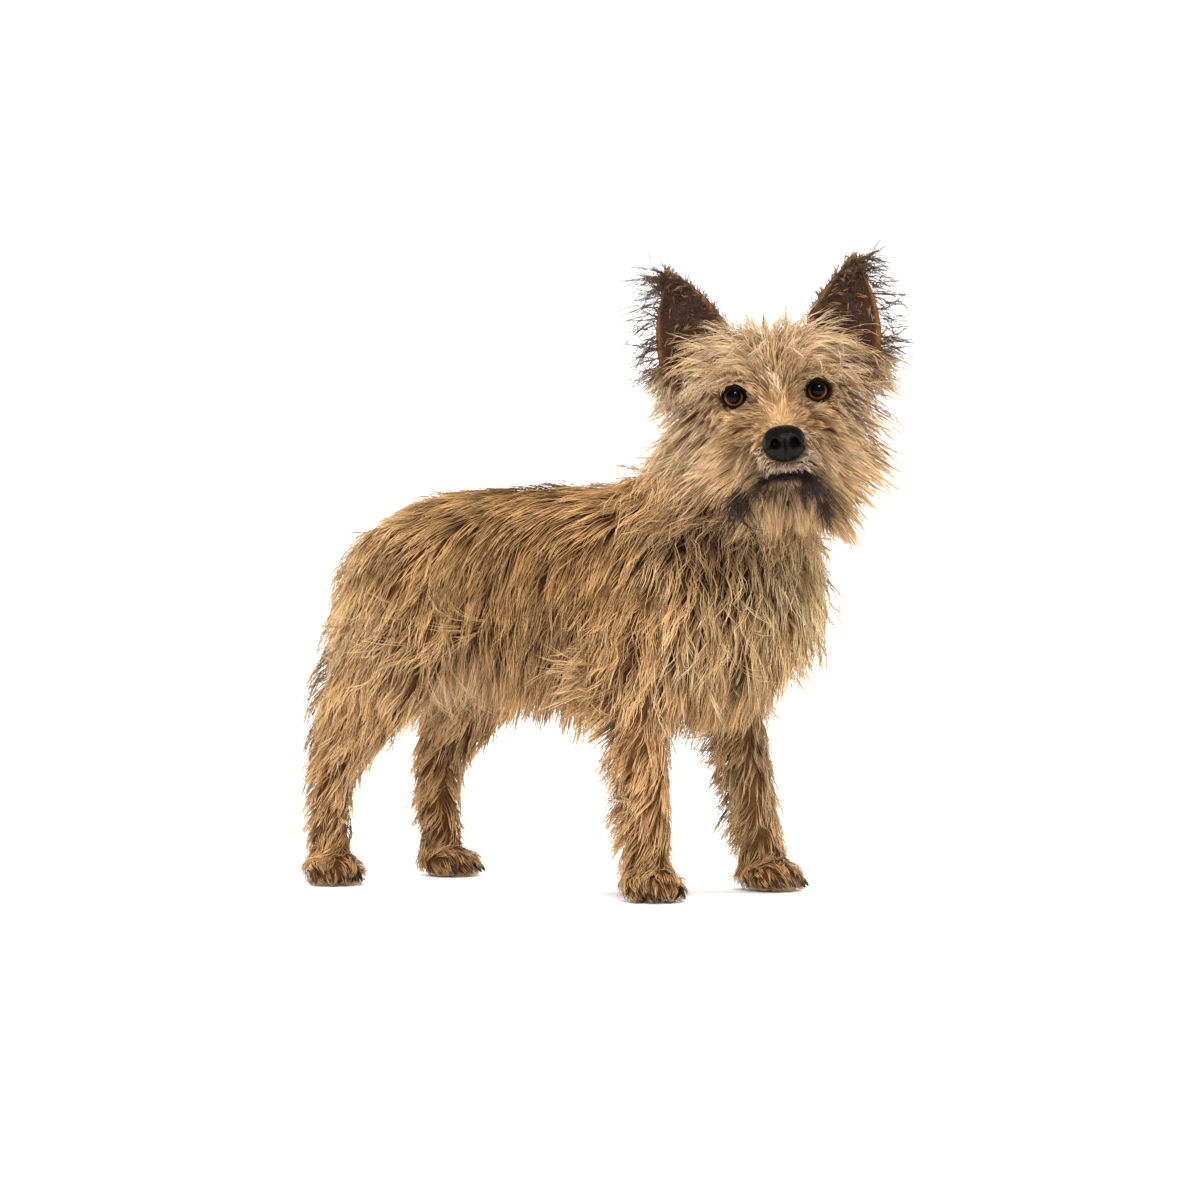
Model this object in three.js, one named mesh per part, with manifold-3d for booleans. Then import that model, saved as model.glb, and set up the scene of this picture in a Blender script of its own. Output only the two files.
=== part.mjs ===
// A small rough-coated terrier standing square with its head turned to the right, life size.
// Millimetres. +X is where the body faces, +Y its left side and +Z up, with the soles on z = 0.
import * as THREE from "three";
import { mergeVertices } from "three/addons/utils/BufferGeometryUtils.js";
import Module from "manifold-3d";

const wasm = await Module();
wasm.setup();
const { Manifold, Mesh } = wasm;

// ---- Driving dimensions ----
const gap = 0.35; // kept between touching nodes
const coreShare = 0.4; // how much of the coat's depth the solid core fills
const lockSunk = 5; // how deep a lock's root is set in the core
const rootOverlap = 3; // how far a lock may start inside a neighbour's core
const lowestHair = 9; // over the floor
const leftAhead = 29; // how far the left feet stand ahead of the right ones
const leftOut = 7; // how much further they stand from the middle
const hipHeight = 235;
const headAt = new THREE.Vector3(192, -40, 343); // middle of the skull, between the ears
const headTurn = { yaw: -59, pitch: 0, roll: 4.5 }; // degrees
const eye = { x: 36, y: 29, z: 12, radius: 10.5, lid: 2.4, openWidth: 16, openHeight: 13 };
const nose = { x: 92, z: -25, length: 20, width: 29, height: 25, nostril: 3.6 };
const mouth = { lip: 3, slit: 1.5 };
const ear = { thickness: 2.6, depth: 22, across: 6, up: 5 };
const paw = { length: 56, width: 41, height: 30, toe: 10.5 };
const claw = { length: 15, radius: 2.6, bend: 5 };

// Rows of a form: x, y, z of the middle, half width, height above, height below, depth of the coat.
const torsoRows = [
  [-158, 0, 236, 20, 16, 24, 9],
  [-146, 0, 231, 42, 36, 40, 11],
  [-115, 0, 228, 55, 54, 50, 12],
  [-68, 0, 228, 56, 59, 54, 13],
  [-10, 0, 226, 59, 62, 66, 15],
  [50, 0, 224, 62, 63, 76, 16],
  [100, 0, 226, 64, 64, 80, 18],
  [145, 0, 228, 60, 57, 72, 20],
  [178, 0, 226, 44, 38, 50, 19],
];
const neckRows = [
  [92, 2, 240, 48, 38, 48, 18],
  [122, 0, 274, 48, 38, 50, 18],
  [152, -6, 312, 44, 36, 46, 20],
  [178, -20, 348, 34, 30, 36, 18],
];
const headRows = [
  [-54, 0, 2, 16, 18, 16, 14],
  [-40, 0, 2, 36, 37, 34, 17],
  [-10, 0, 2, 46, 47, 42, 20],
  [18, 0, -2, 48, 44, 48, 17],
  [38, 0, -10, 41, 34, 46, 9],
  [53, 0, -20, 31, 23, 40, 7],
  [68, 0, -30, 25, 20, 32, 7],
  [84, 0, -36, 21, 20, 26, 6],
  [93, 0, -38, 14, 14, 20, 4],
];
const tailRows = [
  [-138, 0, 250, 26, 22, 22, 4],
  [-164, -2, 236, 19, 17, 17, 6],
  [-177, -4, 208, 13, 12, 12, 10],
  [-188, -6, 178, 10, 9, 9, 11],
  [-198, -8, 148, 8, 8, 8, 13],
  [-206, -9, 118, 7, 7, 7, 13],
  [-211, -10, 88, 4, 4, 4, 12],
];
// Legs are written for the right side, with the height above towards the front.
const foreRows = [
  [100, -40, 236, 16, 32, 26, 8],
  [98, -50, 205, 21, 34, 31, 9],
  [93, -56, 168, 18, 24, 27, 9],
  [95, -58, 135, 15, 16, 17, 8],
  [98, -58, 100, 13, 13, 14, 7],
  [100, -58, 65, 12, 12, 13, 6],
  [101, -58, 40, 13, 12, 13, 6],
  [102, -58, 20, 14, 13, 14, 5],
];
const hindRows = [
  [-118, -34, 262, 18, 30, 26, 9],
  [-118, -42, 235, 27, 42, 36, 10],
  [-116, -48, 200, 28, 45, 44, 11],
  [-124, -54, 165, 25, 36, 42, 11],
  [-146, -56, 130, 19, 24, 27, 10],
  [-165, -55, 100, 13, 15, 17, 8],
  [-174, -54, 70, 11, 12, 13, 7],
  [-176, -53, 40, 11, 12, 12, 6],
  [-176, -53, 20, 12, 13, 13, 5],
];
// side is 1 on the right; ahead and out move a foot from where the rows set it.
const feet = [
  { name: "fore_right", rows: foreRows, side: 1, ahead: 0, out: 0, toeOut: -42 },
  { name: "fore_left", rows: foreRows, side: -1, ahead: leftAhead, out: leftOut, toeOut: -8 },
  { name: "hind_right", rows: hindRows, side: 1, ahead: 0, out: 0, toeOut: -42 },
  { name: "hind_left", rows: hindRows, side: -1, ahead: leftAhead, out: leftOut, toeOut: -4 },
];

// ---- Looks ----
const sandy = new THREE.MeshStandardMaterial({ color: 0xb8905f, roughness: 0.85, metalness: 0 });
const pale = new THREE.MeshStandardMaterial({ color: 0xccab80, roughness: 0.85, metalness: 0 });
const dark = new THREE.MeshStandardMaterial({ color: 0x5c4030, roughness: 0.85, metalness: 0 });
const black = new THREE.MeshStandardMaterial({ color: 0x1c1a1a, roughness: 0.4, metalness: 0 });
const amber = new THREE.MeshStandardMaterial({ color: 0x5a3010, roughness: 0.1, metalness: 0 });

const degrees = THREE.MathUtils.degToRad;
const mirrored = (points, side) => points.map(([x, y, z]) => new THREE.Vector3(x, y * side, z));

// ---- Solids ----
function manifoldOf(geometry) {
  const vertProperties = new Float32Array(geometry.attributes.position.array);
  const triVerts = new Uint32Array(geometry.index.array);
  return new Manifold(new Mesh({ numProp: 3, vertProperties, triVerts }));
}

// Moves every corner out until each face beside it has moved out by the distance.
function growOut({ attributes: { position }, index }, distance) {
  const count = position.count;
  const pushes = Array.from({ length: count }, () => new THREE.Vector3());
  const faces = Array.from({ length: count }, () => new THREE.Matrix3().multiplyScalar(0.01));
  const triangle = new THREE.Triangle();
  const out = new THREE.Vector3();
  for (let i = 0; i < index.count; i += 3) {
    const corners = [index.getX(i), index.getX(i + 1), index.getX(i + 2)];
    const [x, y, z] = triangle.setFromAttributeAndIndices(position, ...corners).getNormal(out).toArray();
    const products = [x * x, x * y, x * z, y * x, y * y, y * z, z * x, z * y, z * z];
    for (const corner of corners) {
      pushes[corner].add(out);
      products.forEach((product, k) => (faces[corner].elements[k] += product));
    }
  }
  pushes.forEach((push, i) => {
    push.applyMatrix3(faces[i].invert()).multiplyScalar(distance).clampLength(0, 3 * distance);
    position.setXYZ(i, position.getX(i) + push.x, position.getY(i) + push.y, position.getZ(i) + push.z);
  });
}

// A closed geometry as a solid, grown outwards where a copy has to stand clear.
function solid(geometry, grow = 0) {
  const plain = new THREE.BufferGeometry();
  plain.setAttribute("position", geometry.getAttribute("position"));
  plain.setIndex(geometry.index);
  const merged = mergeVertices(plain, 1e-4);
  let made = manifoldOf(merged);
  if (made.volume() < 0) {
    const { array } = merged.index;
    for (let i = 0; i < array.length; i += 3) [array[i], array[i + 1]] = [array[i + 1], array[i]];
    made = manifoldOf(merged);
  }
  if (grow === 0) return made;
  growOut(merged, grow);
  return manifoldOf(merged);
}

function meshOf(name, made, material) {
  const largest = made.decompose().reduce((a, b) => (b.volume() > a.volume() ? b : a));
  const { vertProperties, triVerts, numProp, numVert } = largest.getMesh();
  const places = new Float32Array(numVert * 3);
  for (let i = 0; i < numVert; i++) places.set(vertProperties.subarray(i * numProp, i * numProp + 3), i * 3);
  const geometry = new THREE.BufferGeometry();
  geometry.setAttribute("position", new THREE.BufferAttribute(places, 3));
  geometry.setIndex(new THREE.BufferAttribute(new Uint32Array(triVerts), 1));
  geometry.computeVertexNormals();
  const mesh = new THREE.Mesh(geometry, material);
  mesh.name = name;
  return mesh;
}

// A rounded body along a smooth centre line; every row has its own half width, height above and height below.
class Form {
  constructor(rows, { around, along, cap, place = new THREE.Matrix4() }) {
    const curve = (pick) => new THREE.CatmullRomCurve3(rows.map(pick), false, "catmullrom", 0.5);
    this.middle = curve(([x, y, z]) => new THREE.Vector3(x, y, z));
    this.sizes = curve(([, , , side, above, below]) => new THREE.Vector3(side, above, below));
    this.depth = curve(([, , , , , , coat]) => new THREE.Vector3(coat, 0, 0));
    Object.assign(this, { around, along, cap, place });
    this.skin = Array.from({ length: 31 * 18 }, (_, i) => {
      const share = (1 - Math.cos((Math.PI * Math.floor(i / 18)) / 30)) / 2;
      return this.skinPoint(share, ((i % 18) * Math.PI) / 9);
    });
  }

  coat(share) {
    return this.depth.getPoint(share).x;
  }

  section(share) {
    const middle = this.middle.getPoint(share).applyMatrix4(this.place);
    const ahead = this.middle.getTangent(share);
    const side = new THREE.Vector3(0, 1, 0).addScaledVector(ahead, -ahead.y).normalize();
    for (const way of [ahead, side]) way.transformDirection(this.place);
    const near = Math.min(1, Math.min(share, 1 - share) / this.cap);
    const fullness = Math.sqrt(1 - (1 - near) ** 2);
    const { x: half, y: above, z: below } = this.sizes.getPoint(share);
    return { middle, ahead, side, up: ahead.clone().cross(side), fullness, half, above, below };
  }

  // The surface at a share of the length and an angle from the left side (0) over the top (90 degrees).
  surface(share, angle, offset = 0) {
    const { middle, ahead, side, up, fullness, half, above, below } = this.section(share);
    const spread = offset * Math.min(1, 2 * fullness);
    const across = Math.cos(angle) * (half * fullness + spread);
    const rise = Math.sin(angle) * ((Math.sin(angle) > 0 ? above : below) * fullness + spread);
    const past = (share < 0.5 ? -1 : 1) * offset * (1 - fullness);
    return middle.addScaledVector(side, across).addScaledVector(up, rise).addScaledVector(ahead, past);
  }

  // A point of the skin, with the way out from there.
  skinPoint(share, angle) {
    const middle = THREE.MathUtils.clamp(share, 0.002, 0.998);
    const along = this.surface(middle + 0.002, angle).sub(this.surface(middle - 0.002, angle));
    const round = this.surface(middle, angle + 0.05).sub(this.surface(middle, angle - 0.05));
    return { share, place: this.surface(share, angle), away: round.cross(along).normalize() };
  }

  // How high a point lies over the skin, and the way out from there.
  over(point) {
    let best = this.skin[0];
    let least = Infinity;
    for (const spot of this.skin) {
      const distance = spot.place.distanceToSquared(point);
      if (distance < least) [best, least] = [spot, distance];
    }
    const { share, place, away } = best;
    return { form: this, share, away, height: point.clone().sub(place).dot(away) };
  }

  geometry(coatShare) {
    const ball = new THREE.SphereGeometry(1, this.around, this.along);
    const { position, uv } = ball.attributes;
    for (let i = 0; i < position.count; i++) {
      const share = (1 - Math.cos(Math.PI * (1 - uv.getY(i)))) / 2;
      const place = this.surface(share, uv.getX(i) * 2 * Math.PI, this.coat(share) * coatShare);
      position.setXYZ(i, place.x, place.y, place.z);
    }
    return ball;
  }
}

const ellipsoid = (middle, radii, around, along) =>
  new THREE.SphereGeometry(1, around, along).scale(...radii).translate(...middle);

// A round bar along a smooth line, tapering to its far end.
function taperedBar(points, radius, tipRadius, sides, steps) {
  const line = new THREE.CatmullRomCurve3(points);
  const bar = new THREE.CylinderGeometry(1, 1, 1, sides, steps, false);
  const { position } = bar.attributes;
  const frames = line.computeFrenetFrames(steps, false);
  for (let i = 0; i < position.count; i++) {
    const share = Math.min(1, Math.max(0, position.getY(i) + 0.5));
    const step = Math.round(share * steps);
    const size = radius + (tipRadius - radius) * share;
    const place = line
      .getPoint(share)
      .addScaledVector(frames.normals[step], position.getX(i) * size)
      .addScaledVector(frames.binormals[step], position.getZ(i) * size);
    position.setXYZ(i, place.x, place.y, place.z);
  }
  return bar;
}

// ---- Forms; the head's own frame has +X to the nose and +Y left ----
const headPlace = new THREE.Matrix4().compose(
  headAt,
  new THREE.Quaternion().setFromEuler(
    new THREE.Euler(degrees(headTurn.roll), degrees(headTurn.pitch), degrees(headTurn.yaw), "ZYX"),
  ),
  new THREE.Vector3(1, 1, 1),
);
const onHead = (geometry) => geometry.applyMatrix4(headPlace);
const torsoForm = new Form(torsoRows, { around: 16, along: 12, cap: 0.06 });
const neckForm = new Form(neckRows, { around: 14, along: 8, cap: 0.1 });
const headForm = new Form(headRows, { around: 16, along: 13, cap: 0.07, place: headPlace });
const tailForm = new Form(tailRows, { around: 8, along: 10, cap: 0.06 });
function placedRows({ rows, side, ahead, out }) {
  return rows.map(([x, y, z, ...sizes]) => {
    const low = 1 - Math.min(1, z / hipHeight);
    return [x + ahead * low, side * (y - out * low), z, ...sizes];
  });
}
for (const foot of feet) foot.form = new Form(placedRows(foot), { around: 10, along: 12, cap: 0.04 });
const forms = [headForm, neckForm, torsoForm, tailForm, ...feet.map(({ form }) => form)];

// The lips meet on a line over the front of the muzzle: share of the head's length, degrees below its middle.
const mouthPlaces = [[0.62, 40], [0.74, 40], [0.86, 40], [0.93, 55], [0.965, 90]];
function mouthLine(offset) {
  const half = (left) =>
    mouthPlaces.map(([share, below]) => {
      const angle = degrees(left ? -below : below - 180);
      return headForm.surface(share, angle, coreShare * headForm.coat(share) + offset);
    });
  return [...half(false).slice(0, -1), ...half(true).reverse()];
}

const eyeBall = (side, radius) => ellipsoid([eye.x, eye.y * side, eye.z], [radius, radius, radius], 10, 7);

function eyeOpening(side) {
  const middle = [eye.x + eye.radius * 1.35, (eye.y + 3) * side, eye.z];
  return ellipsoid(middle, [eye.radius, eye.openWidth / 2, eye.openHeight / 2], 10, 6);
}

const nosePad = () => ellipsoid([nose.x, 0, nose.z], [nose.length / 2, nose.width / 2, nose.height / 2], 12, 8);

function nostril(side) {
  const middle = [nose.x + nose.length / 2 - 2, nose.width * 0.24 * side, nose.z - 1];
  return ellipsoid(middle, [5, nose.nostril * 0.8, nose.nostril], 7, 5);
}

// A cupped ear: a curved plate between its inner and outer edges, open to the front.
const earEdges = [-1, 1].map((side) => ({
  inner: new THREE.CatmullRomCurve3(mirrored([[2, 24, 34], [4, 28, 62], [3, 43, 86], [0, 62, 102]], side)),
  outer: new THREE.CatmullRomCurve3(mirrored([[8, 60, 14], [8, 74, 40], [4, 76, 72], [0, 66, 102]], side)),
}));
function earPlace(side, up, across) {
  const { inner, outer } = earEdges[side < 0 ? 0 : 1];
  const place = inner.getPoint(up).lerp(outer.getPoint(up), across);
  place.x -= ear.depth * Math.sin(across * Math.PI) * (1 - up * 0.85);
  return place;
}
function earCup(side) {
  const box = new THREE.BoxGeometry(1, 1, 1, 1, ear.across, ear.up);
  const { position } = box.attributes;
  for (let i = 0; i < position.count; i++) {
    const up = position.getZ(i) + 0.5;
    const place = earPlace(side, up, position.getY(i) + 0.5);
    place.x += position.getX(i) * ear.thickness * (up > 0.99 ? 0.7 : 1);
    position.setXYZ(i, place.x, place.y, place.z);
  }
  return box;
}

// ---- Locks ----
let seed = 20;
function random() {
  seed = (seed + 0x6d2b79f5) | 0;
  let mixed = Math.imul(seed ^ (seed >>> 15), 1 | seed);
  mixed = (mixed + Math.imul(mixed ^ (mixed >>> 7), 61 | mixed)) ^ mixed;
  return ((mixed ^ (mixed >>> 14)) >>> 0) / 2 ** 32;
}
const around = (middle, spread) => middle + (random() * 2 - 1) * spread;

// A flat lock along points, each with its way out: three-sided, widest half way and pointed at the tip.
const lockSteps = [0, 0.37, 0.72, 1];
const lockWidth = (t) => 0.55 + 1.5 * t - 1.7 * t * t;
function lockSolid({ points, ways, width, thickness }, grow = 0) {
  const places = [];
  const faces = [];
  const last = lockSteps.length - 1;
  let before = null;
  for (let i = 0; i < last; i++) {
    const along = points[i + 1].clone().sub(points[Math.max(0, i - 1)]).normalize();
    const side = along.clone().cross(ways[i]).normalize();
    if (before && side.dot(before) < 0.7) side.copy(before).projectOnPlane(along).normalize();
    before = side;
    const out = side.clone().cross(along);
    const half = (width / 2) * lockWidth(lockSteps[i]);
    places.push(points[i].clone().addScaledVector(side, half), points[i].clone().addScaledVector(side, -half));
    places.push(points[i].clone().addScaledVector(out, thickness * (1 - 0.3 * lockSteps[i])));
    if (i === 0) continue;
    const [from, to] = [3 * i - 3, 3 * i];
    for (const [a, b] of [[0, 1], [1, 2], [2, 0]]) {
      faces.push(from + a, to + a, from + b);
      faces.push(from + b, to + a, to + b);
    }
  }
  places.push(points[last]);
  const tip = 3 * last;
  faces.push(0, 1, 2, tip - 3, tip, tip - 2, tip - 2, tip, tip - 1, tip - 1, tip, tip - 3);
  return solid(new THREE.BufferGeometry().setFromPoints(places).setIndex(faces), grow);
}

// The nearest form to a point, with its height over that skin.
function nearest(point) {
  return forms.map((form) => form.over(point)).reduce((a, b) => (b.height < a.height ? b : a));
}

// A lock rooted in a form's core. It follows the lie over whatever it meets and rises to the coat's full depth;
// flare lifts its tip further, by that share of its length, and hang lets it fall free. Nothing is grown
// where the lock would fold or stretch.
function growLock(form, share, angle, settings) {
  const { lie, length, width, thickness = 3.4, hang = 0, flare = 0, clearOf = [] } = settings;
  const yaw = around(0, 0.16);
  const curl = around(0, 0.24);
  const long = length * around(1, 0.14);
  let place = form.surface(share, angle, form.coat(share) * coreShare - lockSunk);
  let near = form.over(place);
  const points = [place];
  const ways = [near.away];
  for (let i = 1; i < lockSteps.length; i++) {
    const t = lockSteps[i];
    const ahead = lie(place).normalize();
    ahead.addScaledVector(near.away, -ahead.dot(near.away) * (1 - hang * t)).normalize();
    ahead.applyAxisAngle(near.away, yaw + curl * t).addScaledVector(down, hang * t).normalize();
    place = place.clone().addScaledVector(ahead, long * (t - lockSteps[i - 1]));
    for (let pass = 0; pass < 2; pass++) {
      near = nearest(place);
      const share = near.form === form ? coreShare + (1 - coreShare) * t : 1;
      const high = near.form.coat(near.share) * share - 0.4 * thickness * t + flare * long * t * t;
      if (high > near.height || hang === 0) place.addScaledVector(near.away, high - near.height);
    }
    place.z = Math.max(place.z, lowestHair);
    const segment = new THREE.Line3(points[i - 1], place);
    const crosses = ({ middle, radius }) => {
      const closest = segment.closestPointToPoint(middle, true, new THREE.Vector3());
      return closest.distanceTo(middle) < radius + width / 2;
    };
    if (clearOf.some(crosses)) return null;
    const stretch = segment.distance() / (long * (t - lockSteps[i - 1]));
    const turn = i > 1 ? points[i - 1].clone().sub(points[i - 2]).dot(place.clone().sub(points[i - 1])) : 1;
    if (stretch < 0.6 || stretch > 1.6 || turn < 0) return null;
    points.push(place);
    ways.push(near.away);
  }
  const lock = { points, ways, width: width * around(1, 0.12), thickness };
  const folded = Math.abs(lockSolid(lock).subtract(lockSolid(lock, gap)).volume()) > 0.05;
  return folded ? null : lock;
}

// Rows of locks, set like shingles, between two shares of the length and two angles. None starts inside
// another form.
function lockRows(form, { rows, across, shares: [from, to], angles: [low, high], ...settings }) {
  const isHidden = (root) =>
    forms.some((other) => {
      const { height, share } = other.over(root);
      return other !== form && height < other.coat(share) * coreShare - rootOverlap;
    });
  const locks = [];
  for (let spot = 0; spot < rows * across; spot++) {
    const [row, column] = [Math.floor(spot / across), spot % across];
    for (let attempt = 0; attempt < 6; attempt++) {
      const share = from + ((to - from) * (row + (column % 2 ? 0.7 : 0.3) + around(0, 0.15))) / rows;
      const turn = (column + (row % 2 ? 0.75 : 0.25) + around(0, 0.1)) / across;
      const angle = degrees(low + (high - low) * turn);
      if (isHidden(form.surface(share, angle, form.coat(share) * coreShare))) continue;
      const lock = growLock(form, share, angle, settings);
      if (!lock) continue;
      locks.push(lock);
      break;
    }
  }
  return locks;
}

const down = new THREE.Vector3(0, 0, -1);
const lieOf = (x, y, z) => () => new THREE.Vector3(x, y, z);
const headWay = (x, y, z) => new THREE.Vector3(x, y, z).transformDirection(headPlace);
const muzzleSource = new THREE.Vector3(84, 0, -22).applyMatrix4(headPlace);
const headLie = (place) => place.clone().sub(muzzleSource).normalize().addScaledVector(down, 0.25);
const cheekLie = (side) => () => headWay(-0.35, side, -0.55);
const moustacheLie = (side) => () => headWay(-0.5, 0.7 * side, -0.75);

// No lock crosses the way out from an eye.
const eyesClear = [1, -1].flatMap((side) =>
  [6, 20, 34].map((ahead) => ({
    middle: new THREE.Vector3(eye.x + ahead, eye.y * side, eye.z).applyMatrix4(headPlace),
    radius: 12,
  })),
);

function headLocks() {
  const skull = { lie: headLie, clearOf: eyesClear };
  const face = { clearOf: eyesClear, thickness: 2.2 };
  const crown = {
    ...skull, rows: 3, across: 5, shares: [0.06, 0.5], angles: [20, 160], length: 54, width: 24,
  };
  const brow = { ...face, rows: 2, across: 4, shares: [0.5, 0.7], angles: [40, 140], length: 32, width: 14 };
  const nape = {
    ...skull, rows: 1, across: 2, shares: [0.2, 0.4], angles: [-115, -65], length: 44, width: 24,
  };
  const chin = {
    ...face, rows: 2, across: 3, shares: [0.66, 0.92], angles: [-125, -55], length: 36, width: 13,
    hang: 1,
  };
  const cheek = {
    clearOf: eyesClear, rows: 3, across: 3, shares: [0.2, 0.6], length: 56, width: 25, flare: 0.45,
  };
  const moustache = { ...face, rows: 2, across: 2, shares: [0.68, 0.86], length: 28, width: 12, flare: 0.2 };
  return [
    ...lockRows(headForm, crown),
    ...lockRows(headForm, { ...brow, lie: headLie }),
    ...lockRows(headForm, nape),
    ...lockRows(headForm, { ...cheek, angles: [-55, 40], lie: cheekLie(1) }),
    ...lockRows(headForm, { ...cheek, angles: [235, 140], lie: cheekLie(-1) }),
    ...lockRows(headForm, { ...moustache, angles: [-40, 20], lie: moustacheLie(1) }),
    ...lockRows(headForm, { ...moustache, angles: [220, 160], lie: moustacheLie(-1) }),
    ...lockRows(headForm, { ...chin, lie: lieOf(0, 0, -1) }),
  ];
}

function neckLocks() {
  const strand = { length: 60, width: 27, thickness: 4 };
  const mane = { ...strand, rows: 3, across: 8, shares: [0.2, 0.95], angles: [-90, 270], flare: 0.08 };
  const ruff = { ...strand, rows: 2, across: 2, shares: [0.6, 1], angles: [150, 215], flare: 0.4 };
  return [
    ...lockRows(neckForm, { ...mane, lie: lieOf(-0.45, 0, -0.85) }),
    ...lockRows(neckForm, { ...ruff, lie: cheekLie(-1) }),
  ];
}

function torsoLocks() {
  const flank = {
    rows: 7, across: 8, shares: [0.03, 0.84], angles: [-30, 210], length: 66, width: 29, thickness: 4,
  };
  const spine = {
    rows: 6, across: 1, shares: [0.02, 0.8], angles: [75, 105], length: 60, width: 30, thickness: 4,
  };
  const chest = {
    angles: [-90, 270], lie: lieOf(-0.1, 0, -1), length: 58, width: 27, thickness: 4, flare: 0.06,
  };
  const belly = {
    rows: 6, across: 3, shares: [0.3, 0.8], angles: [-130, -50], length: 44, width: 22, hang: 0.8,
  };
  return [
    ...lockRows(torsoForm, { ...flank, lie: lieOf(-0.7, 0, -0.85) }),
    ...lockRows(torsoForm, { ...spine, lie: lieOf(-1, 0, 0), flare: 0.05 }),
    ...lockRows(torsoForm, { ...chest, rows: 2, across: 7, shares: [0.84, 0.96] }),
    ...lockRows(torsoForm, { ...chest, rows: 1, across: 6, shares: [0.965, 0.985] }),
    ...lockRows(torsoForm, { ...chest, rows: 1, across: 3, shares: [0.99, 0.999] }),
    ...lockRows(torsoForm, { ...belly, lie: lieOf(-0.4, 0, -0.9) }),
  ];
}

function tailLocks() {
  const brush = { rows: 4, across: 3, shares: [0.08, 0.94], angles: [0, 360], length: 44, width: 14 };
  return lockRows(tailForm, { ...brush, lie: lieOf(-0.3, 0, -0.95) });
}

// Round the leg in rows, with a looser fringe down its back.
function legLocks(form, isFore) {
  const count = isFore ? 3 : 4;
  const shares = isFore ? [0.25, 0.84] : [0.12, 0.86];
  const sleeve = {
    rows: count, across: count, shares, angles: [-60, 240], length: isFore ? 46 : 49,
    width: isFore ? 18 : 22,
  };
  const fringe = {
    rows: 4, across: 1, shares, angles: [-120, -60], length: 44, width: 15, hang: 0.5, flare: 0.35,
  };
  return [
    ...lockRows(form, { ...sleeve, lie: lieOf(-0.3, 0, -0.95), thickness: 3 }),
    ...lockRows(form, { ...fringe, lie: lieOf(-0.6, 0, -0.8), thickness: 2.6 }),
  ];
}

// The dark fringe of an ear grows out of its rim, in the plane of the leather.
const fringePlaces = [[0.4, 0.9], [0.55, 0.9], [0.7, 0.88], [0.84, 0.82], [0.93, 0.55], [0.82, 0.14]];
function earFringe(side) {
  return fringePlaces.map(([up, across]) => {
    const root = earPlace(side, up, across);
    const rim = earPlace(side, up, across + 0.08).sub(earPlace(side, up, across - 0.08)).normalize();
    const rise = earPlace(side, Math.min(1, up + 0.06), across);
    rise.sub(earPlace(side, up - 0.06, across)).normalize();
    const way = rim.clone().cross(rise).multiplyScalar(side).normalize();
    const outwards = rim.multiplyScalar((across - 0.42) * 1.8).addScaledVector(rise, 0.75).normalize();
    const long = around(30, 6);
    const points = lockSteps.map((t) => {
      const place = root.clone().addScaledVector(outwards, long * t - 3);
      return place.addScaledVector(way, -0.8).addScaledVector(down, 9 * t * t);
    });
    const onHead = (place) => place.applyMatrix4(headPlace);
    const ways = lockSteps.map(() => headWay(way.x, way.y, way.z));
    return { points: points.map(onHead), ways, width: around(12, 2), thickness: 1.6 };
  });
}

// ---- Nodes, each with its pieces, the nodes that lie over it and what is cut away ----
const nodes = new Map();
function addNode(name, material, pieces, { locks = [], over = [], cuts = [] } = {}) {
  nodes.set(name, { material, pieces, locks, over, cuts });
}

const sides = [
  ["right", -1],
  ["left", 1],
];
for (const [word, side] of sides) addNode(`eye_${word}`, amber, [onHead(eyeBall(side, eye.radius))]);
addNode("nose", black, [onHead(nosePad())], { cuts: [onHead(nostril(-1)), onHead(nostril(1))] });
addNode(
  "head",
  pale,
  [
    headForm.geometry(coreShare),
    ...sides.map(([, side]) => onHead(eyeBall(side, eye.radius + eye.lid))),
    taperedBar(mouthLine(0), mouth.lip, mouth.lip, 5, 9),
  ],
  {
    locks: headLocks(),
    over: ["eye_right", "eye_left", "nose"],
    cuts: [
      ...sides.map(([, side]) => onHead(eyeOpening(side))),
      taperedBar(mouthLine(mouth.lip), mouth.slit, mouth.slit, 4, 9),
    ],
  },
);
for (const [word, side] of sides) {
  addNode(`ear_${word}`, dark, [onHead(earCup(side))], { locks: earFringe(side), over: ["head"] });
}
addNode("neck", pale, [neckForm.geometry(coreShare)], {
  locks: neckLocks(),
  over: ["head", "ear_right", "ear_left"],
});
addNode("torso", sandy, [torsoForm.geometry(coreShare)], { locks: torsoLocks(), over: ["neck", "head"] });
addNode("tail", dark, [tailForm.geometry(coreShare)], { locks: tailLocks(), over: ["torso"] });

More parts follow.
